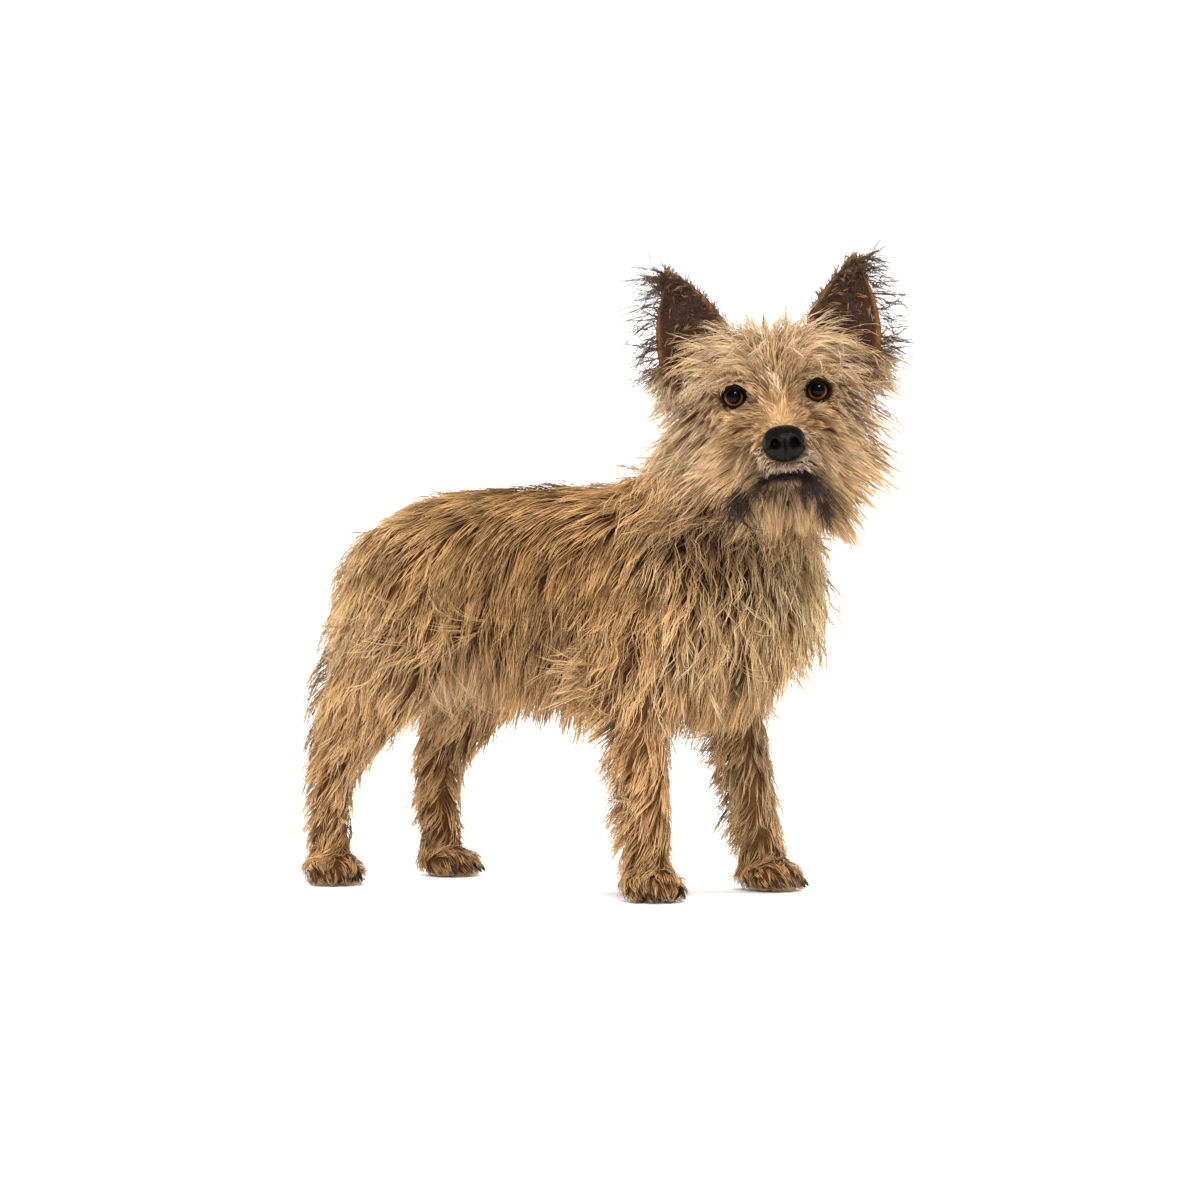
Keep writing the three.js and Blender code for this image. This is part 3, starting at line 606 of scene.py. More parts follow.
def nearestSkin(points):
    # nearest places on the skin with the way out from there
    places, ways = np.empty_like(points), np.empty_like(points)
    for i, point in enumerate(points.tolist()):
        place, way, _, _ = skinTree.find_nearest(Vector(point))
        places[i], ways[i] = place, way
    return places, ways


regionNames = list(forms) + [foot["name"] + "Paw" for foot in feet]
atlas = {   # left, bottom, width, height of each region's room on the baking map
    "torso": (0.01, 0.01, 0.60, 0.50), "head": (0.63, 0.01, 0.36, 0.50), "neck": (0.01, 0.53, 0.28, 0.20),
    "tail": (0.31, 0.53, 0.08, 0.20), "ears": (0.57, 0.75, 0.40, 0.22)}
for k, foot in enumerate(feet):
    atlas[foot["name"]] = (0.41 + 0.15 * k, 0.53, 0.13, 0.20)
    atlas[foot["name"] + "Paw"] = (0.01 + 0.14 * k, 0.75, 0.12, 0.10)


def buildRegions():
    # spots over every form and foot, with their region and their place in its room on the map
    rows = []
    for kind, form in enumerate(forms.values()):
        share, angle = np.meshgrid(np.linspace(0.004, 0.996, 70), turnsOf(56), indexing="ij")
        spots = form.surface(share.ravel(), angle.ravel())
        rows.append((spots, np.full(len(spots), kind), share.ravel(), angle.ravel() / (2 * np.pi)))
    for k, foot in enumerate(feet):
        for spots, _ in pawMeshes(foot):
            away = spots - foot["ankle"]
            turns = np.arctan2(away[:, 1], away[:, 0]) / (2 * np.pi) % 1
            rows.append((spots, np.full(len(spots), len(forms) + k), np.clip(away[:, 2] / 30, 0, 1), turns))
    return [np.concatenate(column) for column in zip(*rows)]


def treeOf(points):
    tree = KDTree(len(points))
    for i, point in enumerate(points.tolist()):
        tree.insert(point, i)
    tree.balance()
    return tree


spotPlaces, *spotRegions = buildRegions()
spotTree = treeOf(spotPlaces)


def regionOf(points):
    # the kind of region at each point, its share along it and its turn round it
    found = np.array([spotTree.find(point)[1] for point in points.tolist()])
    return [values[found] for values in spotRegions]


def onMap(kinds, shares, turns):
    # the place of each root on the baking map, inside its region's room
    room = np.array([atlas[name] for name in regionNames])[kinds]
    return np.stack([
        room[:, 0] + turns * (room[:, 2] - 0.02), room[:, 1] + shares * (room[:, 3] - 0.02)], 1)


def isKind(kinds, *names):
    return np.isin(kinds, [regionNames.index(name) for name in names])


legNames = [foot["name"] for foot in feet]
pawNames = [foot["name"] + "Paw" for foot in feet]
# length, widest width, how it lifts, falls, waves and strays, how freely it hangs, depth, wisps
coat = named("name length width lift fall wave sway free depth wild", [
    ("torso", 52, 0.9, 0.34, 0.3, 1.1, 0.5, 0.2, 18, 0.4),
    ("neck", 60, 0.85, 1.6, 0.45, 3.6, 1.7, 0.65, 44, 0.9),
    ("head", 36, 0.8, 0.5, 0.2, 1.0, 0.4, 0.4, 18, 0.7),
    ("tail", 46, 0.9, 0.9, 0.5, 2.0, 0.8, 0.7, 20, 0.6),
    ("leg", 30, 0.85, 0.4, 0.3, 1.4, 0.5, 0.35, 12, 0.8),
    ("paw", 14, 0.65, 1.1, 0.2, 0.6, 0.4, 0.1, 11, 0.0),
])
face = {
    "source": (84, 0, -14), "nearEye": 0.5, "behind": -20, "muzzle": 60,
    # kept clear of hair: a tunnel before each eye, the nose, and the slit of the mouth
    "eyeClear": (7.8, 2, 40), "nose": (91, 0, -25), "noseRoom": (11.4, 14.6, 12.6),
    "slit": {"height": -47.0, "bend": 0.013, "half": 0.8, "wide": 17, "front": 78}}


def settingsOf(name):
    kind = "leg" if name in legNames else "paw" if name in pawNames else name
    return coat[kind]


def pull(hair, weight, lie=None, **values):
    # leans the hair toward these settings by weight
    for column, value in values.items():
        hair[column] = blend(hair[column], value, weight)
    if lie is not None:
        lie = np.stack(np.broadcast_arrays(*lie, weight)[:3], 1)
        hair["lie"] = blend(hair["lie"], lie, weight[:, None])


def hairOf(points, normals, kinds):
    # the coat's settings and lie at every place
    columns = list(coat["torso"])[1:]
    table = np.array([[settingsOf(name)[column] for column in columns] for name in regionNames])[kinds]
    hair = dict(zip(columns, table.T.copy()))
    x, y, z = points.T
    side = np.sign(y)
    hair["lie"] = np.stack([-0.38 + 0 * x, 0.3 * side * (normals[:, 2] > 0.3), -0.85 + 0 * x], 1)
    torso, neck, tail = (isKind(kinds, name) for name in ("torso", "neck", "tail"))
    leg, paw = isKind(kinds, *legNames), isKind(kinds, *pawNames)
    spine = torso * smooth(0.6, 0.95, normals[:, 2])
    pull(hair, spine, (-1, 0.45 * side, -0.1), length=46, lift=0.75, depth=27, wild=0.15)
    chest = torso * smooth(100, 150, x)
    pull(hair, chest, (0.1, 0.2 * side, -1), length=62, lift=1.4, wave=2.8, sway=1.0, free=0.8, depth=52,
         fall=0.45, wild=1.0)
    belly = torso * smooth(-0.1, -0.6, normals[:, 2])
    pull(hair, belly, (-0.35, 0, -0.9), length=50, lift=0.4, free=1.0, fall=0.9, depth=28, wave=2.4)
    groin = torso * smooth(-0.1, -0.5, normals[:, 2]) * smooth(-40, -80, x)
    pull(hair, groin, (-0.45, 0, -0.9), length=64, wild=1.0, wave=3.5)
    fold = smooth(-130, -110, x) * smooth(-50, -75, x) * smooth(168, 180, z) * smooth(225, 205, z)
    pull(hair, fold, (-1, 0.1 * side, -0.12), length=62, lift=0.5, free=0.5, depth=20)
    pull(hair, neck * 1.0, (-0.45, 0.3 * side, -0.85))
    pull(hair, tail * 1.0, (-0.3, 0, -0.95))
    pull(hair, tail * smooth(0.0, -0.7, normals[:, 0]), (-0.5, -0.3, -0.8), lift=1.5, depth=30)
    pull(hair, leg * 1.0, (-0.6, 0, -0.8), length=24 + 12 * smooth(20, 150, z))
    thigh = leg * smooth(135, 165, z) * (x < 0) * (1 - fold)
    pull(hair, thigh, (-0.5, 0, -0.8), length=48, depth=16, free=0.3, wild=0.5)
    shoulder = leg * smooth(150, 180, z) * (x > 0)
    pull(hair, shoulder, (-0.3, 0, -0.95), length=52, lift=0.7, depth=20, wave=2.8)
    behind = leg * smooth(-0.2, -0.6, normals[:, 0]) * smooth(30, 60, z)
    fore = x > 0
    pull(hair, behind, (-0.8, 0, -0.5), length=26 + 10 * fore, lift=0.7 + 0.3 * fore, free=0.9,
         depth=12 + 12 * fore)
    ahead = leg * smooth(0.3, 0.7, normals[:, 0]) * smooth(20, 50, z)
    pull(hair, ahead, (-0.35, 0.2 * side, -0.9), lift=0.75, free=0.6, depth=14)
    elbow = leg * fore * smooth(0.1, -0.4, normals[:, 0]) * smooth(110, 135, z) * smooth(200, 180, z)
    pull(hair, elbow, (-0.95, 0.1 * side, -0.3), length=50, lift=0.7, free=0.9, depth=28)
    inner = leg * smooth(0.3, 0.7, -normals[:, 1] * side)
    pull(hair, inner, free=0.5, depth=8)
    for foot in feet:
        mine = isKind(kinds, foot["name"] + "Paw") * 1.0
        pull(hair, mine, turnAbout("z", foot["toeOut"]) @ np.array([0.7, 0, -0.7]))
    pull(hair, paw * 1.0, length=12 + 9 * smooth(6, 26, z))
    mine = isKind(kinds, "head")
    part = {column: values[mine] for column, values in hair.items()}
    headHair(points[mine], normals[mine], part)
    for column, values in part.items():
        hair[column][mine] = values
    return hair


def headHair(points, normals, hair):
    # the same for the head, whose rules are written in its own frame
    local, out = toHead(points), normals @ headTurn
    side, wide = np.sign(local[:, 1]), abs(local[:, 1])
    x, z = local[:, 0], local[:, 2]
    away = local - face["source"]
    far = np.linalg.norm(away, axis=1)
    hair["lie"] = unit(away) + np.stack([0 * x, 0.15 * side, -0.12 + 0 * x], 1)
    hair["length"] = 6 + 26 * smooth(10, 76, far)
    hair["depth"] = 3 + 14 * smooth(20, 80, far)
    parted = np.clip(local[:, 1] / 14, -1, 1)
    crown = smooth(0.2, 0.6, out[:, 2]) * smooth(56, 38, x)
    pull(hair, crown, (-0.18, 0.85 * parted, 0.34), length=46, lift=1.3, depth=28, wave=1.8, free=0.6)
    cheek = smooth(0.25, 0.65, abs(out[:, 1])) * smooth(54, 38, x)
    pull(hair, cheek, (0.0, 0.75 * side, -0.5), length=70, lift=2.9, depth=68, free=0.95, fall=0.2,
         wave=2.0, wild=1.0)
    front = smooth(16, 28, wide) * smooth(24, 34, x) * smooth(66, 54, x) * smooth(8, -4, z)
    pull(hair, front, (-0.1, 0.9 * side, -0.42), length=44, lift=0.8, depth=30, free=0.7)
    jaw = smooth(-26, -40, z) * smooth(64, 46, x)
    pull(hair, jaw, (0, 0.6 * side, -0.8), length=46 + 10 * side, lift=1.0, free=0.9, depth=34 + 8 * side)
    nape = smooth(-18, -36, x)
    pull(hair, nape, (-0.35, 0.5 * side, -0.7), length=58, lift=1.3, depth=38, free=0.8)
    lip = smooth(52, 62, x) * smooth(-20, -30, z) * smooth(3, 10, wide)
    lipLength = 10 + 20 * smooth(6, 20, wide)
    pull(hair, lip, (-0.1, 0.85 * side, -0.5), length=lipLength, lift=0.4, free=0.6, depth=10)
    middle = smooth(76, 84, x) * smooth(-33, -37, z) * smooth(12, 7, wide)
    pull(hair, middle, (0, 0.3 * side, -1), length=6, lift=0.25, depth=3, sway=0.4)
    corner = smooth(52, 60, x) * smooth(84, 76, x) * smooth(-38, -46, z) * smooth(12, 17, wide)
    pull(hair, corner, (0.1, 0.05 * side, -1), length=36, lift=0.4, free=1.0, fall=0.5, depth=16)
    chin = smooth(-50, -56, z) * smooth(48, 62, x) * (1 - corner)
    pull(hair, chin, (0.05, 0.2 * side, -1), length=26, lift=0.5, free=1.0, fall=0.5, depth=15)
    eye = np.stack([x, wide, z], 1) - eyes["at"]
    apart = np.linalg.norm(eye, axis=1)
    near = smooth(19, 10, apart)
    pull(hair, near, (-0.3 + 0 * x, 0.9 * side * eye[:, 1] / 12, eye[:, 2] / 12 + 0.2), sway=0.4)
    # hair grows longer and stands higher with the way from the eye
    grown = face["nearEye"] * (1 + 0.9 * smooth(2, 14, eye[:, 2]))
    grown = grown * np.maximum(apart - 8, 0) * (1 + (apart / 45) ** 2)
    hair["length"] = np.minimum(hair["length"], 3 + grown)
    hair["depth"] = np.minimum(hair["depth"], 3 + 0.55 * hair["length"] + 30 * smooth(25, 45, apart))
    hair["lift"] = np.minimum(hair["lift"], 0.4 + 2.4 * smooth(14, 45, apart))
    hair["lie"] = hair["lie"] @ headTurn.T
    hair["width"] = np.clip(hair["length"] / 48, 0.36, 0.72)


def scatter(points, polys, closeness, count):
    # places on a mesh, as close together as asked at each face
    quads = np.array([p if len(p) == 4 else [*p, p[2]] for p in polys])
    corners = points[quads]
    across = np.cross(corners[:, 2] - corners[:, 0], corners[:, 3] - corners[:, 1])
    total = np.cumsum(0.5 * np.linalg.norm(across, axis=1) * closeness(corners.mean(1)))
    draw = (np.arange(count) + rng.random(count)) / count * total[-1]
    picked = np.searchsorted(total, draw)
    u, v = rng.random((2, count, 1))
    a, b, c, d = np.moveaxis(corners[picked], 1, 0)
    return (a * (1 - u) + b * u) * (1 - v) + (d * (1 - u) + c * u) * v


def density(points):
    # hairs are closer on the face and the feet, and fewer where nothing shows
    local = toHead(points)
    far = np.linalg.norm(local, axis=1)
    onFace = smooth(22, 44, local[:, 0]) * (far < 125)
    legs, feetOnly = smooth(150, 120, points[:, 2]), smooth(34, 20, points[:, 2])
    under = smooth(4, 1, points[:, 2])
    return (1 + 0.7 * (far < 80) + 4.8 * onFace + 0.5 * legs + 0.4 * feetOnly) * (1 - under)


strands = {
    "guides": 15000, "hairs": 43600, "quickHairs": 26000, "mostInPiece": 4800, "points": 10, "sunk": 0.6,
    "perLock": 5, "pull": 0.62, "gather": 0.42, "curl": 30, "stray": 0.08, "wisps": 3700, "perWisp": 2,
    "perTuft": 3, "fromTip": 0.85, "paleShare": 0.18, "pale": 0.6, "brightest": 0.92}


def shortened(path, share):
    return path[:, :1] + (path - path[:, :1]) * share


def standOff(hair, wild):
    # longer, looser and higher hair where the coat's own settings let it
    long = smooth(10, 40, hair["length"]) * hair["wild"]
    hair["length"] = hair["length"] * (1 + 0.25 * wild * long)
    hair["lift"] = hair["lift"] + wild * 0.9 * long
    hair["fall"] = hair["fall"] * 0.6
    hair["depth"] = hair["depth"] * (1 + 1.1 * wild * long)
    hair["free"] = np.maximum(hair["free"], 0.9 * long)
    hair["wave"] = hair["wave"] * 1.4


def heldToCoat(place, hair, layer, t):
    # places come out of the skin, and back toward the coat's depth, less where the hair hangs free
    skinPlace, near = nearestSkin(place)
    inside = dot(place - skinPlace, near)[:, 0] < 0
    height = np.linalg.norm(place - skinPlace, axis=1)
    most = hair["depth"] * layer * (1 - (1 - t) ** 2)
    least = 0.5 + 0.4 * most
    lower = height + (most - height) * (1 - hair["free"]) * 0.6
    goal = np.where(inside | (height < least), least, np.where(height > most, lower, height))
    place = skinPlace + unit(place - skinPlace) * np.where(inside, -goal, goal)[:, None]
    place[:, 2] = np.maximum(place[:, 2], 1.0)
    return place, near


def growGuides(count, wild=0.0):
    # wild guides stand off the coat, longer and more curved
    roots, normals = nearestSkin(scatter(skinPoints, skinPolys, density, count))
    kinds, _, _ = regionOf(roots)
    hair = hairOf(roots, normals, kinds)
    if wild > 0:
        standOff(hair, wild)
    steps = strands["points"]
    # neighbouring guides share a lock: its wave, its height in the coat, and the line it gathers to
    leaders = rng.permutation(count)[: count // strands["perLock"]]
    tree = treeOf(roots[leaders])
    lock = leaders[np.array([tree.find(root)[1] for root in roots.tolist()])]
    own = rng.random((5, count))
    shared = rng.random((5, count))[:, lock]
    phase = shared[0] * 2 * np.pi + own[0] * 0.8
    sway = ((shared[1] - 0.5) + (own[1] - 0.5) * (0.4 + wild)) * hair["sway"]
    layer = 0.4 + 0.5 * shared[2] + 0.3 * own[2]
    long = hair["length"] * (0.75 + 0.4 * shared[3]) * (0.8 + 0.35 * own[3])
    place, near = roots - normals * strands["sunk"], normals
    path, ways = [place], [normals]
    free = hair["free"][:, None]
    lie = unit(hair["lie"])
    for step in range(1, steps):
        t = step / (steps - 1)
        flat = unit(lie - near * dot(lie, near) * (1 - 0.8 * free * t))
        side = np.cross(near, flat)
        wave = hair["wave"] * 2 * np.pi / strands["curl"]
        turn = phase + t * long * 2 * np.pi / strands["curl"]
        way = flat + side * (sway + wave * np.cos(turn))[:, None]
        way += near * (hair["lift"] * (1 - t) ** 1.3 + 0.5 * wave * np.sin(turn))[:, None]
        way[:, 2] -= hair["fall"] * t
        place, near = heldToCoat(place + unit(way) * (long / (steps - 1))[:, None], hair, layer, t)
        path.append(place)
        ways.append(near)
    path, ways = np.stack(path, 1), np.stack(ways, 1)
    lean = strands["pull"] * np.linspace(0, 1, steps)[None, :, None] ** 1.2 * (1 - wild)
    return roots, path + (path[lock] - path) * lean, ways, hair, shared[4]


guideRoots, guidePaths, guideWays, guideHair, guideShade = growGuides(strands["guides"])
guideTree = treeOf(guideRoots)
print("guides:", len(guideRoots))


def crossesFace(path, mouthToo=True):
    # true where a hair would lie across an eye, the nose or the mouth
    local = toHead(path.reshape(-1, 3)).reshape(path.shape)
    x, y, z = np.moveaxis(local, 2, 0)
    bad = np.zeros(len(path), bool)
    clear, start, end = face["eyeClear"]
    for side in (-1, 1):
        away = local - eyeMiddle(side)
        axis = np.hypot(away[..., 1], away[..., 2])
        bad |= ((axis < clear) & (away[..., 0] > start) & (away[..., 0] < end)).any(1)
    slit = face["slit"]
    onSlit = abs(z - slit["height"] + slit["bend"] * y**2) < slit["half"]
    bad |= (onSlit & (abs(y) < slit["wide"]) & (x > slit["front"])).any(1) & mouthToo
    nose = (local[:, 1:] - face["nose"]) / face["noseRoom"]
    return bad | (np.linalg.norm(nose, axis=-1) < 1).any(1)


def growHairs():
    # every hair takes the shape of the guide nearest to its root
    roots, normals = nearestSkin(scatter(skinPoints, skinPolys, density, strands["hairs"]))
    guide = np.array([guideTree.find(root)[1] for root in roots.tolist()])
    count, steps = len(roots), strands["points"]
    t = np.linspace(0, 1, steps)[None, :, None]
    gather = np.clip(rng.normal(strands["gather"], 0.2, count), 0, 0.95)
    stray = rng.random(count) < strands["stray"]
    gather[stray] = 0
    offset = roots - guideRoots[guide]
    scale = 0.7 + 0.42 * rng.random(count) + 0.15 * stray
    shape = (guidePaths[guide] - guidePaths[guide][:, :1]) * scale[:, None, None]
    twist = np.cumsum(rng.normal(0, 0.3, (count, steps, 3)), 1) * t
    twist[stray] *= 2.5
    loose = (normals * (2 + 7 * rng.random((count, 1))) * stray[:, None])[:, None] * t**1.5
    twist, loose = [v * np.clip(guideHair["length"][guide] / 45, 0, 1)[:, None, None] for v in (twist, loose)]
    start = (roots - normals * strands["sunk"])[:, None]
    path = start + shape - offset[:, None] * gather[:, None, None] * t**1.2 + twist + loose
    width = guideHair["width"][guide] * (0.65 + 0.5 * rng.random(count)) * np.where(stray, 0.6, 1)
    return dress(roots, path, guideWays[guide], width, guideShade[guide])


def growWisps():
    # wisps of a few hairs that stand off the coat
    roots, paths, ways, hair, shade = growGuides(strands["wisps"], wild=1.0)
    steps = strands["points"]
    t = np.linspace(0, 1, steps)[None, :, None]
    kept = np.flatnonzero(hair["length"] > 15)
    each = np.repeat(kept, strands["perWisp"])
    apart = rng.normal(0, 1.1, (len(each), 1, 3)) * (1 - t) + rng.normal(0, 1.2, (len(each), 1, 3)) * t
    path = shortened(paths[each], 0.85 + 0.25 * rng.random((len(each), 1, 1))) + apart
    return dress(roots[each], path, ways[each], hair["width"][each] * 0.62, shade[each])


def dress(roots, path, ways, width, shade):
    # the face kept clear, a place on the baking map and the colours of root and tip
    count = len(roots)
    for _ in range(3):      # shortened where they would cross an eye or the nose
        across = crossesFace(path)
        path[across] = shortened(path[across], 0.5)
    kinds, shares, turns = regionOf(roots)
    spot = onMap(kinds, shares, turns) + rng.random((count, 2)) * 0.012
    root, tip = markingsAndShading(roots)
    _, far = markingsAndShading(path[:, -1])
    onHead = isKind(kinds, "head")[:, None]
    tip += (far - tip) * strands["fromTip"]
    shade = 1 + (shade[:, None] - 0.5) * 0.9 + rng.normal(0, 0.13, (count, 1))
    pale = (rng.random((count, 1)) < strands["paleShare"] + 0.1 * onHead) * strands["pale"]
    tip = tip * shade * (1 - pale) + tip * 1.6 * pale
    tip = tip / np.maximum(tip.max(1, keepdims=True) / strands["brightest"], 1)
    kept = ~crossesFace(path)
    return [values[kept] for values in (path, ways, width, root * shade, tip, spot, kinds)]


blade = {
    "profile": (0.75, 1.0, 0.95, 0.75, 0.45), "thick": 0.55, "patch": 0.003, "floor": 0.8, "cut": 0.86,
    "rounds": 8}


def keepInside(path):
    # hairs that pass the coat's reach or the floor are cut shorter, a few times if need be
    for _ in range(blade["rounds"]):
        past = (abs(toWorld(path)[..., :2]) > reach[:2]).any((1, 2)) | (path[..., 2] < blade["floor"]).any(1)
        path[past] = shortened(path[past], blade["cut"])
    path[..., 2] = np.maximum(path[..., 2], blade["floor"])
    return path


def bladePoints(path, ways, width, share):
    # three corners about every point of a hair but its last, and then its tip
    count, rings = len(path), path.shape[1] - 1
    ends = [path[:, 1:2] - path[:, :1], path[:, 2:] - path[:, :-2], path[:, -1:] - path[:, -2:-1]]
    along = unit(np.concatenate(ends, 1))
    side = unit(np.cross(along, ways))
    out = np.cross(side, along)[:, :rings]
    side = side[:, :rings]
    profile = np.interp(share[:-1], np.linspace(0, 1, 5), blade["profile"])[None, :, None]
    half = width[:, None, None] * profile / 2
    middle = path[:, :rings]
    corners = [middle + side * half, middle - side * half, middle + out * half * 2 * blade["thick"]]
    return np.concatenate([np.stack(corners, 2).reshape(count, -1, 3), path[:, -1:]], 1).reshape(-1, 3)


def bladeFaces(rings):
    # the faces of one closed blade, quads first
    pairs = ((0, 1), (1, 2), (2, 0))
    starts = range(0, rings * 3 - 3, 3)
    quads = [(ring + a, ring + 3 + a, ring + 3 + b, ring + b) for ring in starts for a, b in pairs]
    last = rings * 3 - 3
    return quads + [(0, 1, 2)] + [(last + a, rings * 3, last + b) for a, b in pairs]


def addCoat(name, path, ways, width, root, tip, spot, slot, picked):
    # every hair is a closed three-sided blade that tapers to its tip
    share = np.linspace(0, 1, strands["points"])[list(picked)]
    path, ways = keepInside(path)[:, picked], ways[:, picked]
    count, rings = len(path), len(picked) - 1
    each = rings * 3 + 1
    faces = bladeFaces(rings)
    pattern = np.array([i for face in faces for i in face])
    sizes = np.array([len(face) for face in faces])
    loops = (np.arange(count)[:, None] * each + pattern).ravel()
    mesh = bpy.data.meshes.new(name)
    mesh.vertices.add(count * each)
    mesh.vertices.foreach_set("co", toWorld(bladePoints(path, ways, width, share)).ravel())
    mesh.loops.add(len(loops))
    mesh.loops.foreach_set("vertex_index", loops)
    mesh.polygons.add(count * len(sizes))
    mesh.polygons.foreach_set("loop_start", np.concatenate([[0], np.cumsum(np.tile(sizes, count))[:-1]]))
    mesh.polygons.foreach_set("use_smooth", np.ones(count * len(sizes), bool))
    mesh.update(calc_edges=True)
    share = np.concatenate([np.repeat(share[:-1], 3), [1.0]])
    tint = root[:, None] + (tip - root)[:, None] * smooth(0.15, 0.95, share)[None, :, None]
    paintPoints(mesh, np.clip(tint.reshape(-1, 3), 0.002, 0.95))
    across = np.concatenate([np.tile([0.0, 0.5, 1.0], rings), [0.5]])
    patch = np.stack([across, share], 1) * blade["patch"]
    places = (spot[:, None] + patch[None]).reshape(-1, 2)
    mesh.uv_layers.new(name="OFBake").data.foreach_set("uv", places[loops].ravel())
    keep(name, mesh, coatLook)
    return sum(sizes - 2) * count


# the name of each grade of hair, the least length in it, and which of a hair's points it keeps
grades = [
    ("Fine", 50, (0, 2, 3, 5, 6, 7, 9)), ("", 30, (0, 2, 4, 5, 7, 9)), ("Mid", 16, (0, 3, 5, 7, 9)),
    ("Short", 8, (0, 3, 6, 9)), ("Tiny", 0, (0, 5, 9))]


def addCoats():
    batches = [growHairs(), growWisps()]
    path, ways, width, root, tip, spot, kinds = [np.concatenate(values) for values in zip(*batches)]
    groups = (
        ("coatHead", ["head"], "pale_coat"), ("coatNeck", ["neck"], "pale_coat"),
        ("coatTorso", ["torso"], "sandy_coat"), ("coatTail", ["tail"], "dark_coat"),
        ("coatLegs", legNames, "sandy_coat"), ("coatPaws", pawNames, "sandy_coat"))
    total, most = 0, np.inf
    long = np.linalg.norm(np.diff(path, axis=1), axis=2).sum(1)
    for grade, least, points in grades:
        graded = (long >= least) & (long < most)
        for name, regions, slot in groups:
            picked = np.flatnonzero(isKind(kinds, *regions) & graded)
            parts = max(1, math.ceil(len(picked) / strands["mostInPiece"]))
            for k, some in enumerate(np.array_split(picked, parts)):
                if len(some):
                    batch = [values[some] for values in (path, ways, width, root, tip, spot)]
                    total += addCoat(f"{name}{grade}{k + 1}", *batch, slot, points)
        print("coat", grade or "Long", graded.sum(), "hairs")
        most = least
    return total


print("coat triangles:", addCoats())

ears = {
    "inner": [(2, 24, 34), (4, 28, 62), (3, 43, 86), (0, 62, 102)],
    "outer": [(-8, 64, 14), (6, 77, 38), (5, 77, 70), (0, 67, 101)],
    "depth": 22, "thickness": 2.0, "leather": (62, 41, 31), "rim": (140, 96, 58)}


def earPlace(side, up, across):
    # a place on the cupped sheet of an ear, from its inner edge to its outer one
    up, across = np.broadcast_arrays(np.asarray(up, float), np.asarray(across, float))
    inner, outer = curveAt(ears["inner"], up), curveAt(ears["outer"], up)
    place = inner + (outer - inner) * across[..., None]
    place[..., 0] -= ears["depth"] * np.sin(across * np.pi) * (1 - up * 0.85)
    place[..., 1] *= side
    return place


def earMesh(side):
    # the sheet with a front, a back and a rim all round, thinner toward its edges
    ups, acrosses = np.linspace(0, 1, 44), np.linspace(0, 1, 26)
    up, across = np.meshgrid(ups, acrosses, indexing="ij")
    sheet = earPlace(side, up, across)
    edge = np.minimum(np.minimum(across, 1 - across) * 8, np.minimum((1 - up) * 12, 1))
    half = np.stack([ears["thickness"] / 2 * (0.35 + 0.65 * edge), 0 * up, 0 * up], -1)
    points = np.concatenate([(sheet + half).reshape(-1, 3), (sheet - half).reshape(-1, 3)])
    rows, columns = sheet.shape[:2]
    faces = []
    for i in range(rows - 1):
        for j in range(columns - 1):
            a = i * columns + j
            front = [a, a + 1, a + columns + 1, a + columns]
            faces += [front, [k + rows * columns for k in front[::-1]]]
    grid = np.arange(rows * columns).reshape(rows, columns)
    rim = [*grid[:, 0], *grid[-1, 1:], *grid[-2::-1, -1], *grid[0, -2:0:-1]]
    for a, b in zip(rim, rim[1:] + rim[:1]):
        faces.append([int(i) for i in (a, a + rows * columns, b + rows * columns, b)])
    if side < 0:
        faces = [face[::-1] for face in faces]
    near = np.concatenate([np.minimum(across, 1 - across).ravel()] * 2)
    isBack = np.arange(len(points)) >= rows * columns
    rimShare = np.clip(smooth(0.10, 0.03, near) + isBack * 0.8, 0, 1)[:, None]
    return fromHead(points), faces, blend(colour(*ears["leather"]), colour(*ears["rim"]), rimShare)


def addEars():
    meshes = [earMesh(side) for side in (-1, 1)]
    points, faces = join([(points, faces) for points, faces, _ in meshes])
    tint = np.vstack([tint for _, _, tint in meshes])
    piece = addPiece("earLeather", points, faces, skinLook, tint=tint)
    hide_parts("ear_right", "ear_left")
    print("ears:", len(faces), "faces")


addEars()

# hairs, where up and across, length, width, colours, way outwards and up, fall
earHair = named("name count up across length width root tip out rise fall", [
    ("fringe", 270, (0.2, 1.0), (0.95, 1.0), (14, 52), 0.36, (84, 62, 46), (104, 90, 80), 1.0, 0.4, 0.06),
    ("tipTuft", 170, (0.84, 1.0), (0.0, 1.0), (14, 50), 0.36, (84, 62, 46), (70, 60, 54), 0.7, 0.9, 0.09),
    ("innerRim", 300, (0.1, 0.97), (0.0, 0.08), (6, 20), 0.36, (88, 66, 48), (124, 104, 84), -0.3, 1.0,
     -0.02),
    ("lining", 1000, (0.02, 0.92), (0.06, 0.9), (5, 10), 0.42, (58, 40, 30), (94, 66, 46), 0.3, 0.9, 0.02),
    ("back", 1300, (0.0, 1.0), (0.02, 0.98), (8, 14), 0.8, (96, 68, 42), (150, 116, 80), 0.2, 1.0, 0.03),
    ("foot", 520, (0.0, 0.3), (0.0, 1.0), (16, 36), 0.65, (150, 114, 76), (226, 202, 168), 1.0, 0.35, 0.07),
    ("side", 300, (0.0, 0.35), (0.92, 1.0), (12, 30), 0.42, (128, 96, 64), (204, 174, 138), 1.0, -0.05, 0.06),
])
